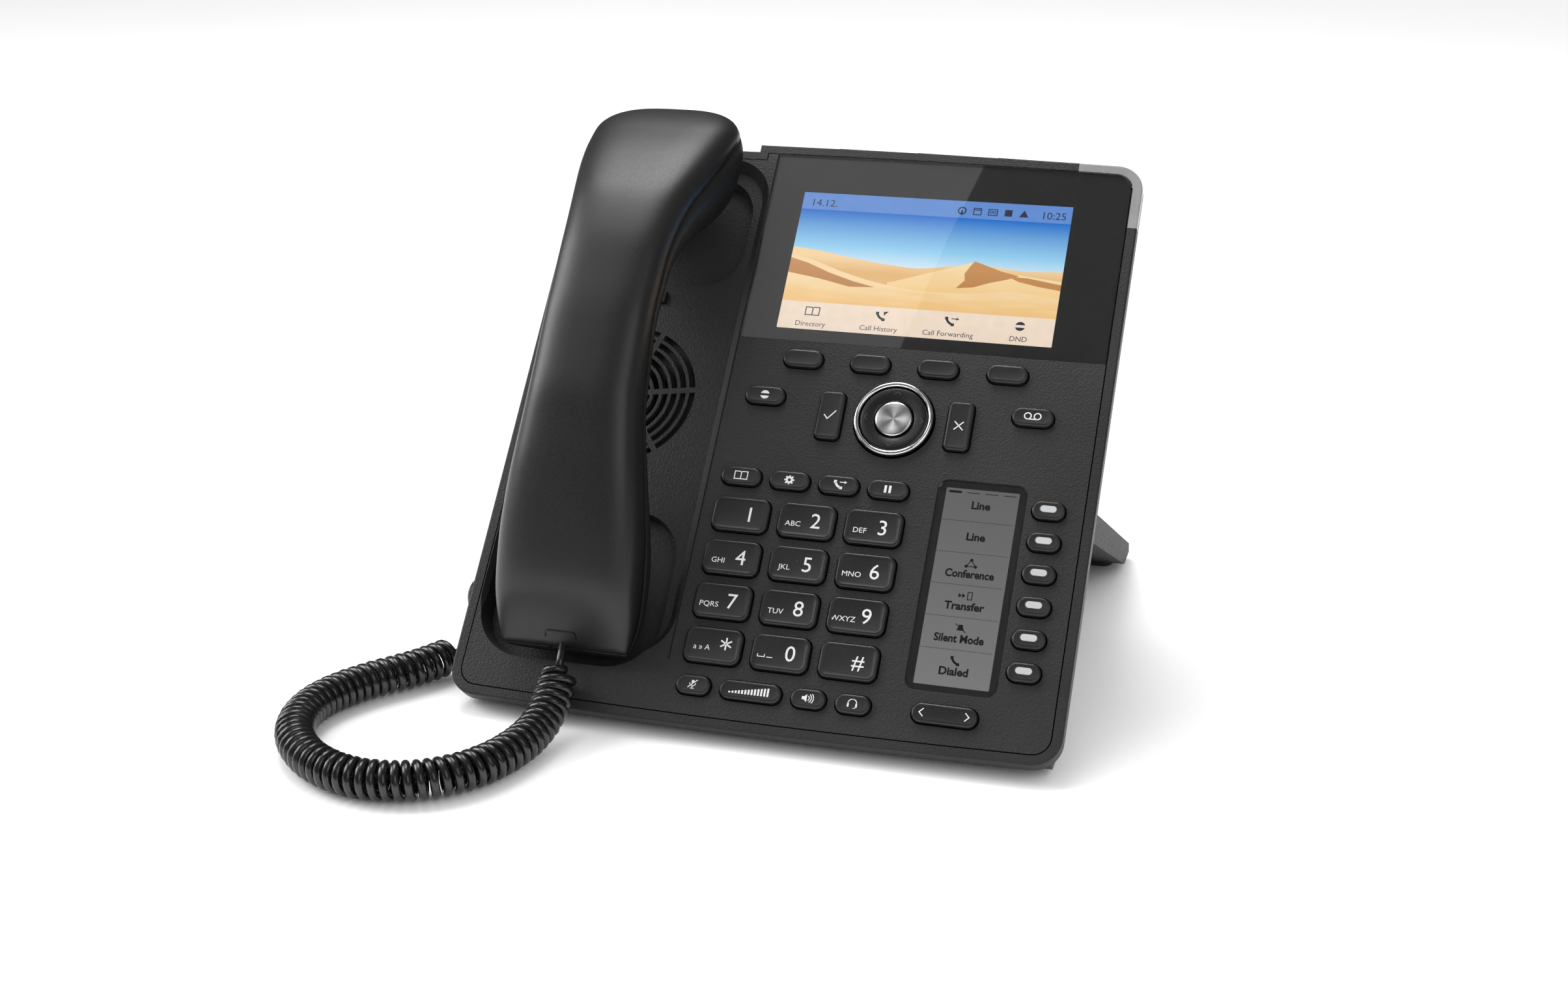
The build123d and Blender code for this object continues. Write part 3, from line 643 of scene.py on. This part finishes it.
def build_key_windows():
    """A frosted light window in each line key, and the raised pip on the 5."""
    for i in range(6):
        name = f"line_key_{i + 1}"
        x, y = KEYS[name][:2]
        for suffix, (width, height), level, look in WINDOW_PARTS:
            rings = []
            for inset, drop in ((0, 0.3), (0, 0.08), (0.06, 0.02), (0.2, 0.0)):
                outline = rounded_outline(x, y + 0.35, width - 2 * inset, height - 2 * inset,
                                          height / 2 - inset)
                rings.append([(px, py, KEY_TOP - KEY_DISH + level - drop) for px, py in outline])
            points, faces = stack(rings)
            add_mesh(name + suffix, points, faces, look, name)
    x, y = KEYS["dial_key_5"][:2]
    rings = []
    for i in range(5):
        angle = pi / 2 * i / 5
        outline = arc(x - 0.4, y + 0.6, 0.55 * cos(angle), 0, 337.5, 15)
        rings.append([(px, py, key_level(0.28) + 0.35 * sin(angle)) for px, py in outline])
    points, faces = stack(rings)
    add_mesh("dial_key_5_pip", points, faces, KEY, "dial_key_5")


def turned(profile, steps=72):
    """Rings turned about the middle of the navigation ring from a profile of (radius, w)."""
    x, y = NAV
    turns = [tau * i / steps for i in range(steps)]
    return [[(x + radius * cos(a), y + radius * sin(a), w) for a in turns] for radius, w in profile]


def build_navigation():
    """The chromed ring, the black four-way pad with its engraved arrows, and the spun OK key."""
    inner, half_ring = NAV_R - NAV_RING, NAV_RING / 2
    profile = [(inner, -3), (inner, 1.6)]
    for i in range(1, 8):
        angle = pi * i / 8
        profile.append((inner + half_ring - half_ring * cos(angle), 1.6 + 0.75 * sin(angle)))
    profile += [(NAV_R, 1.6), (NAV_R, -3), (inner, -3)]
    points, faces = stack(turned(profile), close_top=False, close_bottom=False)
    ring = add_mesh("nav_chrome_ring", points, faces, CHROME, "nav_trim_ring")
    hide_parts("nav_trim_ring")
    outer, hole = inner - 0.25, OK_R + 0.5
    profile = [(hole, -3), (hole, 0.75), (hole + 0.12, 0.95), (hole + 0.5, 1.05), (hole + 2.2, 1.45),
               (outer - 0.9, 1.5), (outer - 0.25, 1.35), (outer, 1.0), (outer, -3), (hole, -3)]
    points, faces = stack(turned(profile), close_top=False, close_bottom=False)
    pad = add_mesh("nav_pad_top", points, faces, NAV_BLACK, "nav_pad")
    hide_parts("nav_pad")
    chevron = [(-1.1, -0.45), (0, 0.55), (1.1, -0.45)]
    marks = []
    for quarter in range(4):
        turn = Matrix.Rotation(pi / 2 * quarter, 2)
        reach = Vector((0, 9.4))
        marks.append(stroke([tuple(Vector(NAV) + turn @ (Vector(p) + reach)) for p in chevron], 0.3))
    print_marks("nav_arrows", marks, 1.5, ENGRAVED, "nav_pad")
    profile = [(OK_R, -3), (OK_R, 1.3), (OK_R - 0.1, 1.6), (OK_R - 0.35, 1.82), (OK_R - 0.8, 1.9),
               (OK_R - 2.5, 1.78), (1.0, 1.62)]
    points, faces = stack(turned(profile))
    key = add_mesh("ok_key_cap", points, faces, SPUN, "ok_key")
    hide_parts("ok_key")


# ---------------------------------------------------------------- displays
def display_shape(name, outline, look, lift):
    """A flat backlit shape on the main display; lift orders the layers, in thousandths of a mm."""
    cx, cy = DISPLAY
    points = [(cx + u, cy + v, IMAGE_W + lift * 0.001) for u, v in outline]
    return add_mesh(name, points, [tuple(range(len(points)))], look, "housing",
                    smooth=False)


def ridge(anchors, steps=6):
    """A smooth crest line through a few anchors."""
    us = np.array([a[0] for a in anchors], float)
    vs = np.array([a[1] for a in anchors], float)
    fine = np.linspace(us[0], us[-1], steps * (len(us) - 1) + 1)
    values = np.interp(fine, us, vs)
    kernel = np.array([1, 2, 3, 2, 1]) / 9
    padded = np.concatenate([[values[0]] * 2, values, [values[-1]] * 2])
    return list(zip(fine, np.convolve(padded, kernel, "valid")))


def box_outline(x0, x1, y0, y1):
    """The four corners of an upright box, anticlockwise."""
    return [(x0, y0), (x1, y0), (x1, y1), (x0, y1)]


def build_desert():
    """Sky, far dunes, a peak with its shaded face, and the near dunes, each a flat glowing shape."""
    half_w, half_h = DISPLAY_SIZE[0] / 2, DISPLAY_SIZE[1] / 2
    cy = DISPLAY[1]
    sky = glow("display_sky", [(0.0, (0.75, 0.90, 0.98)), (0.35, (0.32, 0.66, 0.92)),
                               (1.0, (0.015, 0.17, 0.62))], "y", cy - 2, cy + 20)
    display_shape("display_sky", box_outline(-half_w, half_w, -half_h, half_h), sky, 0)
    far = glow("dune_far", [(0.2, (0.82, 0.50, 0.20)), (0.8, (0.98, 0.70, 0.38))],
               "y", cy - 4, cy + 5, ripple=0.25)
    lit = glow("dune_lit", [(0.0, (0.80, 0.46, 0.15)), (0.6, (0.95, 0.64, 0.28)), (1.0, (1.0, 0.78, 0.46))],
               "y", cy - 20, cy + 6, ripple=0.35, ripple_scale=160)
    shade = glow("dune_shade", [(0.1, (0.46, 0.20, 0.06)), (0.9, (0.62, 0.30, 0.11))],
                 "y", cy - 16, cy + 6, ripple=0.3)
    near = glow("dune_near", [(0.0, (0.70, 0.40, 0.13)), (0.7, (0.93, 0.60, 0.26)),
                              (1.0, (0.99, 0.74, 0.42))],
                "y", cy - 27, cy - 2, ripple=0.4, ripple_scale=240)
    far_line = ridge([(-half_w, 5.0), (-38, 4.0), (-26, 1.8), (-14, 0.2), (-2, -0.8), (8, 1.0),
                      (20, 2.2), (34, 0.8), (half_w, 1.6)])
    display_shape("dune_far", far_line + [(half_w, -20), (-half_w, -20)], far, 8)
    peak = ridge([(-12, -7), (-2, -3.4), (6, -0.6), (13, 1.8), (17, 3.6), (21, 2.4), (29, -0.2),
                  (38, -1.2), (half_w, -2.2)])
    display_shape("dune_peak", peak + [(half_w, -20), (-12, -20)], lit, 16)
    face = [(17, 3.6), (20.5, 2.5), (27, 0.3), (33, -1.0), (29, -2.6), (23, -4.4), (18, -6.4),
            (12, -7.2), (14.6, -4.0), (14.2, -1.4), (15.6, 1.4)]
    display_shape("dune_peak_shade", face, shade, 24)
    side = [(29, -1.4), (36, -1.6), (half_w, -3.4), (half_w, -5.6), (40, -4.6), (33, -3.2)]
    display_shape("dune_side_shade", side, shade, 28)
    left = ridge([(-half_w, 2.0), (-40, 0.4), (-31, -3.0), (-20, -6.2), (-8, -8.6), (6, -9.4),
                  (18, -8.8), (32, -7.0), (half_w, -8.6)])
    display_shape("dune_near", left + [(half_w, -half_h), (-half_w, -half_h)], near, 32)
    trough = [(-half_w, 0.6), (-41, -1.2), (-33, -4.4), (-24, -7.2), (-16, -9.0), (-25, -9.4),
              (-36, -7.0), (-half_w, -5.2)]
    display_shape("dune_near_shade", trough, shade, 40)


def status_icons():
    """Five generic marks for the status line: a dial, a diary, a tape, a block and a warning."""
    dial = [ring_mark(0, 0, 1.3, 0.5), bar(0, -0.8, 0.6, 1.8)]
    diary = [stroke(box_outline(-1.3, 1.3, -1.3, 1.2), 0.35, True), bar(0, 0.6, 2.2, 0.4)]
    tape = [stroke(box_outline(-1.5, 1.5, -1.2, 1.1), 0.35, True),
            ring_mark(-0.6, 0, 0.45, 0.25), ring_mark(0.6, 0, 0.45, 0.25)]
    block = [bar(0, 0, 2.6, 2.6)]
    warning = [polygon([(-1.6, -1.3), (1.6, -1.3), (0, 1.5)])]
    return [dial, diary, tape, block, warning]


def build_main_display():
    """A desert under a blue sky, a status line and four captions, all generic."""
    build_desert()
    half_w, half_h = DISPLAY_SIZE[0] / 2, DISPLAY_SIZE[1] / 2
    cx, cy = DISPLAY
    status = flat_glow("display_status_band", (0.30, 0.45, 0.78), 1.0, alpha=0.42)
    band = flat_glow("display_caption_band", (0.98, 0.90, 0.84), 1.0, alpha=0.66)
    display_shape("display_status_band", box_outline(-half_w, half_w, 20.2, half_h), status, 48)
    display_shape("display_caption_band", box_outline(-half_w, half_w, -half_h, -16.3), band, 48)
    marks = [text("14.12.", cx - 44.5, cy + 21.6, 4.0, "LEFT"),
             text("10:25", cx + 45.8, cy + 21.6, 4.0, "RIGHT")]
    for i, icon in enumerate(status_icons()):
        marks += [moved(shape, cx + 9.5 + 5.4 * i, cy + 23.1) for shape in icon]
    history = receiver_icon() + [polygon([(1.0, 0.2), (2.4, 1.8), (0.8, 1.6)])]
    captions = [("Directory", book_icon()), ("Call History", history),
                ("Call Forwarding", transfer_icon()), ("DND", dnd_icon())]
    for i, (words, icon) in enumerate(captions):
        x = cx - 36 + 24 * i
        marks += [moved(shape, x, cy - 19.9, 1.1) for shape in icon]
        marks.append(text(words, x, cy - 25.6, 2.7))
    dark = flat_glow("display_text", (0.03, 0.04, 0.07), 1.0)
    print_marks("display_text", marks, IMAGE_W + 0.06, dark, "housing")


def label_rows():
    """The name beside each line key, with the small mark above it if it has one."""
    corners = [(-1.5, -0.9), (0, 1.3), (1.5, -0.9)]
    conference = [stroke(corners, 0.3, True)] + [disc(x, y, 0.55) for x, y in corners]
    arrows = [polygon([(x, -0.8), (x + 1.1, 0), (x, 0.8)]) for x in (-2.4, -1.2)]
    transfer = arrows + [stroke(box_outline(0.6, 2.0, -1.2, 1.3), 0.3, True)]
    bell = polygon([(-1.3, -0.8), (1.3, -0.8), (0.8, 0.2), (0.6, 1.2), (-0.6, 1.2), (-0.8, 0.2)])
    silent = [bell, stroke([(-1.8, 1.4), (1.8, -1.4)], 0.3)]
    return [("Line", []), ("Line", []), ("Conference", conference), ("Transfer", transfer),
            ("Silent Mode", silent), ("Dialed", receiver_icon())]


def build_label_display():
    """The grey line-label display with its rows, dotted rules and generic names."""
    cx, cy = LABEL
    half_w, half_h = LABEL_ACTIVE[0] / 2, LABEL_ACTIVE[1] / 2
    back = glow("label_backlight", [(0.0, 0.20), (0.5, 0.16), (1.0, 0.13)], "y", cy - half_h, cy + half_h,
                ripple=0.05, ripple_scale=60)
    outline = box_outline(cx - half_w, cx + half_w, cy - half_h, cy + half_h)
    add_mesh("label_backlight", [(x, y, IMAGE_W) for x, y in outline], [(0, 1, 2, 3)], back,
             "housing", smooth=False)
    marks = [bar(cx - 9.0, cy + 32.4, 4.2, 0.8)]
    for i, (words, icon) in enumerate(label_rows()):
        y = LINE_KEY_Y0 - LINE_KEY_PITCH * i
        drop = 2.9 if icon else 1.0
        marks.append(text(words, cx, y - drop, 3.7, width=1.0 if len(words) < 9 else 0.9, weight=0.13))
        marks += [moved(shape, cx, y + 1.9) for shape in icon]
        if i:
            rule_y = y + LINE_KEY_PITCH / 2
            marks += [bar(cx - half_w + 0.5 + 0.8 * k, rule_y, 0.42, 0.22) for k in range(29)]
    marks += [bar(cx - 9.0 + 6.0 * k, cy + 32.4, 4.2, 0.25) for k in range(1, 4)]
    black = flat_glow("label_text", (0.005, 0.005, 0.006), 1.0)
    print_marks("label_text", marks, IMAGE_W + 0.03, black, "housing")


def glass_mask(name, outer, inner):
    """A flat frame of black ink between two outlines, behind a cover glass."""
    level = -GLASS_T - 0.05
    count = len(outer)
    points = [(x, y, level) for x, y in outer + inner]
    faces = [(i, (i + 1) % count, count + (i + 1) % count, count + i) for i in range(count)]
    add_mesh(name, points, faces, MASK, "housing", smooth=False)


def build_glass_masks():
    """The black ink behind each cover glass, open over the active area."""
    x0, x1, y0, y1 = -27.7, 97.6, 31.1, 103.8
    outer = rounded_outline((x0 + x1) / 2, (y0 + y1) / 2, x1 - x0, y1 - y0, 1.5, 4)
    glass_mask("display_mask", outer, rounded_outline(*DISPLAY, *DISPLAY_SIZE, 0.3, 4))
    outer = rounded_outline(*LABEL, 29.2, 71.7, 3.4, 4)
    glass_mask("label_mask", outer, rounded_outline(*LABEL, *LABEL_ACTIVE, 0.4, 4))


# ---------------------------------------------------------------- handset
# Near the CAD shells' sections, but wider and longer at the top end.
# Stations along y: (y, half width, underside w, crest w, seam w)
STATIONS = [
    (-88.4, 21.6, -1.2, 7.4, 3.4), (-86.0, 22.8, -4.6, 10.6, 4.0), (-78.2, 24.4, -6.7, 20.4, 6.4),
    (-72.0, 24.7, -6.6, 25.2, 9.0), (-58.0, 24.6, -4.4, 32.0, 15.4), (-47.0, 23.6, 3.0, 36.6, 20.4),
    (-38.0, 22.4, 10.0, 40.4, 24.4), (-15.0, 19.3, 24.0, 47.4, 33.6), (15.0, 18.1, 31.0, 51.4, 40.6),
    (38.0, 18.4, 28.4, 51.4, 41.2), (50.0, 19.4, 21.5, 49.6, 39.4), (60.0, 20.8, 13.0, 47.4, 36.6),
    (72.0, 23.4, 1.0, 42.6, 31.4), (84.0, 25.4, -4.8, 37.0, 25.6), (96.0, 26.2, -0.2, 30.0, 20.0),
    (110.0, 26.0, 8.0, 22.5, 15.0),
]
TOP_END, TOP_ROUND = 110.0, 17.0
SMOOTHING = 10.0      # reach, along y, of the smoothing between stations
SEAM_GAP = 0.16


def handset_profile(rows=130):
    """Half width, underside, crest and seam at fine steps along y, smoothed and closed at the top."""
    table = np.array(STATIONS)
    y = np.linspace(table[0, 0], TOP_END, rows * 3)
    columns = []
    step = y[1] - y[0]
    reach = int(SMOOTHING / step)
    kernel = np.hanning(2 * reach + 3)[1:-1]
    kernel /= kernel.sum()
    for c in range(1, 5):
        raw = np.interp(y, table[:, 0], table[:, c])
        ends = np.concatenate([2 * raw[0] - raw[reach:0:-1], raw, 2 * raw[-1] - raw[-2:-reach - 2:-1]])
        columns.append(np.convolve(ends, kernel, "valid"))
    half, low, high, seam = columns
    t = np.clip((y - (TOP_END - TOP_ROUND)) / TOP_ROUND, 0, 0.9995)
    plan = (1 - t ** 2.5) ** (1 / 2.5)
    rise = (1 - t ** 2.3) ** (1 / 2.3)
    half = half * plan
    high = seam + (high - seam) * rise
    low = seam + (low - seam) * rise
    even = np.linspace(0, len(y) * 0.85, rows)
    closer = len(y) - np.geomspace(1, len(y) * 0.15, 40)     # for the rounded top end
    pick = np.unique(np.concatenate([even, closer]).astype(int).clip(0, len(y) - 1))
    return y[pick], half[pick], low[pick], high[pick], seam[pick]


def shell_rings(upper, count=30):
    """Half a section at each step, crest side or underside, closed by a flat inside the seam."""
    rings = []
    for y, half, low, high, seam in zip(*handset_profile()):
        edge = seam + SEAM_GAP if upper else seam - SEAM_GAP
        tall = max((high - edge) if upper else (edge - low), 0.02)
        power = 3.3 if upper else 3.6
        side = half if upper else max(half - 0.4, half * 0.9)
        ring = []
        for i in range(count + 1):
            angle = pi * i / count
            x = side * np.sign(cos(angle)) * abs(cos(angle)) ** (2 / power)
            rise = tall * abs(sin(angle)) ** (2 / power)
            ring.append((HANDSET_X + x, y, edge + rise if upper else edge - rise))
        rings.append(ring if upper else ring[::-1])
    return rings


SOCKET_W = 7.1      # middle of the plug socket in the handset's lower end


def build_handset():
    """Back and front shells with a fine seam between them, and the dark socket for the plug."""
    for name, upper, look, slot in (("handset_back_shell", True, HANDSET, "handset_plastic"),
                                    ("handset_front_shell", False, HANDSET_FRONT, "handset_front_plastic")):
        points, faces = stack(shell_rings(upper))
        faces = [tuple(reversed(f)) for f in faces]
        shell = add_mesh(name + "_skin", points, faces, look, "handset")
        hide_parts(name)
    outline = rounded_outline(0, 0, 10.2, 8.6, 1.2, 5)
    rings = []
    for grow, out in ((1.06, 0.35), (1.0, 0.35), (0.96, -6.0)):
        ring = []
        for dx, dw in outline:
            level = SOCKET_W + dw * grow
            face_y = np.interp(level, [-1.2, 7.4, 20.8], [-88.6, -88.5, -78.3])
            ring.append((HANDSET_X + dx * grow, face_y - out, level))
        rings.append(ring)
    points, faces = stack(rings, close_top=True, close_bottom=False)
    add_mesh("handset_socket", points, faces, MASK, "handset", smooth=False)


# ---------------------------------------------------------------- cord (metres, CAD frame)
HANDSET_LEAD = [(-0.0625, -0.09056, 0.02729), (-0.06245, -0.09254, 0.02511), (-0.0617, -0.0956, 0.02363)]
COIL_ROUTE = [(-0.0613, -0.0984, 0.0209), (-0.0606, -0.1060, 0.01254), (-0.0610, -0.1179, 0.0076),
              (-0.0632, -0.1334, 0.0068), (-0.0700, -0.1494, 0.0068), (-0.0840, -0.1614, 0.0068),
              (-0.1030, -0.1644, 0.0068), (-0.1220, -0.1564, 0.0068), (-0.1365, -0.1399, 0.0068),
              (-0.1400, -0.1194, 0.0068), (-0.1315, -0.1004, 0.0068), (-0.1190, -0.0859, 0.0068),
              (-0.1110, -0.0714, 0.0072)]
BASE_LEAD = [(-0.10883, -0.0675, 0.00731), (-0.1074, -0.0605, 0.0095), (-0.1106, -0.0550, 0.0152),
             (-0.1126, -0.0540, 0.0224), (-0.1086, -0.05395, 0.02848), (-0.1025, -0.05395, 0.02848)]
COIL_D, STRAND_D, COIL_PITCH = 0.0130, 0.0029, 0.00335
RAMP = 0.004          # length over which the curls grow to full size


def route_line(points):
    """Points along the smooth NURBS line of a route."""
    curve = bpy.data.curves.new("route", "CURVE")
    curve.dimensions, curve.resolution_u = "3D", 24
    spline = curve.splines.new("NURBS")
    spline.points.add(len(points) - 1)
    for control, place in zip(spline.points, points):
        control.co = (*place, 1)
    spline.order_u, spline.use_endpoint_u = 3, True
    holder = bpy.data.objects.new("route", curve)
    mesh = bpy.data.meshes.new_from_object(holder)
    line = np.array([v.co for v in mesh.vertices])
    bpy.data.objects.remove(holder)
    bpy.data.curves.remove(curve)
    bpy.data.meshes.remove(mesh)
    return line


def carried_frames(line):
    """Tangents and a normal carried along the line without twist."""
    tangents = np.gradient(line, axis=0)
    tangents /= np.linalg.norm(tangents, axis=1)[:, None]
    normals = np.zeros_like(line)
    normal = np.cross(tangents[0], (0.0, 0.0, 1.0))
    for i, tangent in enumerate(tangents):
        normal = normal - tangent * np.dot(normal, tangent)
        normal /= np.linalg.norm(normal)
        normals[i] = normal
    return tangents, normals, np.cross(tangents, normals)


def resample(line, step):
    """The same line with evenly spaced points."""
    gaps = np.linalg.norm(np.diff(line, axis=0), axis=1)
    along = np.concatenate([[0], np.cumsum(gaps)])
    at = np.linspace(0, along[-1], max(2, int(round(along[-1] / step)) + 1))
    return np.stack([np.interp(at, along, line[:, k]) for k in range(3)], axis=1), at


def tube_mesh(line, radius, sides):
    """Points and faces of a round tube along a line, closed at its ends."""
    _, normals, sideways = carried_frames(line)
    rings = []
    for place, normal, side in zip(line, normals, sideways):
        rings.append([tuple(place + radius * (cos(tau * k / sides) * normal + sin(tau * k / sides) * side))
                      for k in range(sides)])
    return stack(rings)


def build_cord():
    """The curly cord: straight leads at both ends of a close helix, all one strand."""
    line, at = resample(route_line(HANDSET_LEAD + COIL_ROUTE + BASE_LEAD), 0.00018)
    distance = np.linalg.norm(line - np.array(COIL_ROUTE[0]), axis=1)
    start = at[int(np.argmin(distance))]
    distance = np.linalg.norm(line - np.array(COIL_ROUTE[-1]), axis=1)
    end = at[int(np.argmin(distance))]
    _, normals, sideways = carried_frames(line)
    rise = np.clip((at - start) / RAMP, 0, 1) * np.clip((end - at) / RAMP, 0, 1)
    rise = rise * rise * (3 - 2 * rise)
    radius = (COIL_D - STRAND_D) / 2 * rise
    rng = np.random.default_rng(7)
    wander = np.interp(at, np.linspace(0, at[-1], 40), rng.normal(0, 0.22, 40))
    phase = tau * (at - start) / COIL_PITCH + wander
    helix = line + radius[:, None] * (np.cos(phase)[:, None] * normals + np.sin(phase)[:, None] * sideways)
    strand, along = resample(helix, 0.0017)
    points, faces = tube_mesh(strand, STRAND_D / 2, 10)
    cord = add_mesh("curly_cord", points, faces, CORD, None, matrix=Matrix.Identity(4))
    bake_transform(cord)
    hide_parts("cord_coil", "cord_lead")


# ---------------------------------------------------------------- back of the housing
def build_back_details():
    """A blank rating sticker on the rear cover."""
    level = -30.06
    outline = rounded_outline(0, -48, 70, 30, 1.5, 4)
    points = [(x, y, level) for x, y in outline]
    add_mesh("rating_sticker", points, [tuple(reversed(range(len(points))))], STICKER,
             "housing", smooth=False)
    rules = [bar(0, -38 - 4.0 * i, 58 - 9 * (i % 2), 0.5) for i in range(6)]
    print_marks("rating_sticker_rules", rules, level - 0.03, ENGRAVED, "housing")


# ---------------------------------------------------------------- floor and light
CARD_W = 1000                # height of the pale card over the panel
MIRRORED_WORLD = 0.13        # strength of the surroundings as shiny surfaces mirror them


def build_floor():
    """A pale floor that runs on to the back."""
    material, tree, shader = new_material("floor")
    tone = noise(tree, 2.0, 2.0)
    tint = ramp(tree, tone.outputs["Fac"], [(0.3, 0.88), (0.7, 0.90)])
    tree.links.new(tint.outputs["Color"], shader.inputs["Base Color"])
    shader.inputs["Roughness"].default_value = 0.7
    shader.inputs["Specular IOR Level"].default_value = 0.2
    size = 9.0
    corners = [(-size, -size, 0), (size, -size, 0), (size, size, 0), (-size, size, 0)]
    add_mesh("floor", corners, [(0, 1, 2, 3)], material, None, smooth=False,
                      matrix=Matrix.Identity(4))


def build_light_card():
    """A pale overhead card that only the glass and the shiny edges see, on the left."""
    material, _, shader = new_material("light_card")
    shader.inputs["Base Color"].default_value = (0, 0, 0, 1)
    shader.inputs["Emission Color"].default_value = (1, 1, 1, 1)
    shader.inputs["Emission Strength"].default_value = 0.62
    outline = [(105, 1700), (-190, 640), (-275, 250), (-330, 0), (-1300, 0), (-1300, 1700)]
    points = [(x, y, CARD_W) for x, y in outline]
    card = add_mesh("light_card", points, [tuple(range(len(points)))], material, None, smooth=False)
    card.visible_camera = card.visible_diffuse = card.visible_shadow = False


def light_world():
    """White all round, dimmer where shiny surfaces mirror it, as in a studio with dark sides."""
    world = bpy.context.scene.world or bpy.data.worlds.new("world")
    bpy.context.scene.world = world
    world.use_nodes = True
    tree = world.node_tree
    background = tree.nodes["Background"]
    background.inputs["Color"].default_value = (1, 1, 1, 1)
    ray = node(tree, "LightPath")
    mirrored = node(tree, "Math", operation="MULTIPLY_ADD")
    mirrored.inputs[1].default_value = MIRRORED_WORLD - 1.0
    mirrored.inputs[2].default_value = 1.0
    tree.links.new(ray.outputs["Is Glossy Ray"], mirrored.inputs[0])
    tree.links.new(mirrored.outputs["Value"], background.inputs["Strength"])


def build_stage():
    """Floor, surroundings and three soft lights."""
    build_floor()
    build_light_card()
    light_world()
    area_light("key_light", (-1.15, -0.15, 0.75), (-0.02, -0.02, 0.08), (0.6, 0.9), 12)
    area_light("fill_light", (0.9, -0.9, 0.9), (0.0, 0.0, 0.08), (0.9, 0.9), 4)
    area_light("top_light", (-0.35, 0.5, 1.5), (-0.02, 0.0, 0.08), (0.8, 0.8), 14)
    bpy.context.scene.view_settings.view_transform = "Standard"


# ---------------------------------------------------------------- make everything
add_camera()
build_cord()
dress_cad()
build_keys()
build_legends()
build_key_windows()
build_navigation()
build_main_display()
build_label_display()
build_glass_masks()
build_handset()
build_back_details()
build_stage()
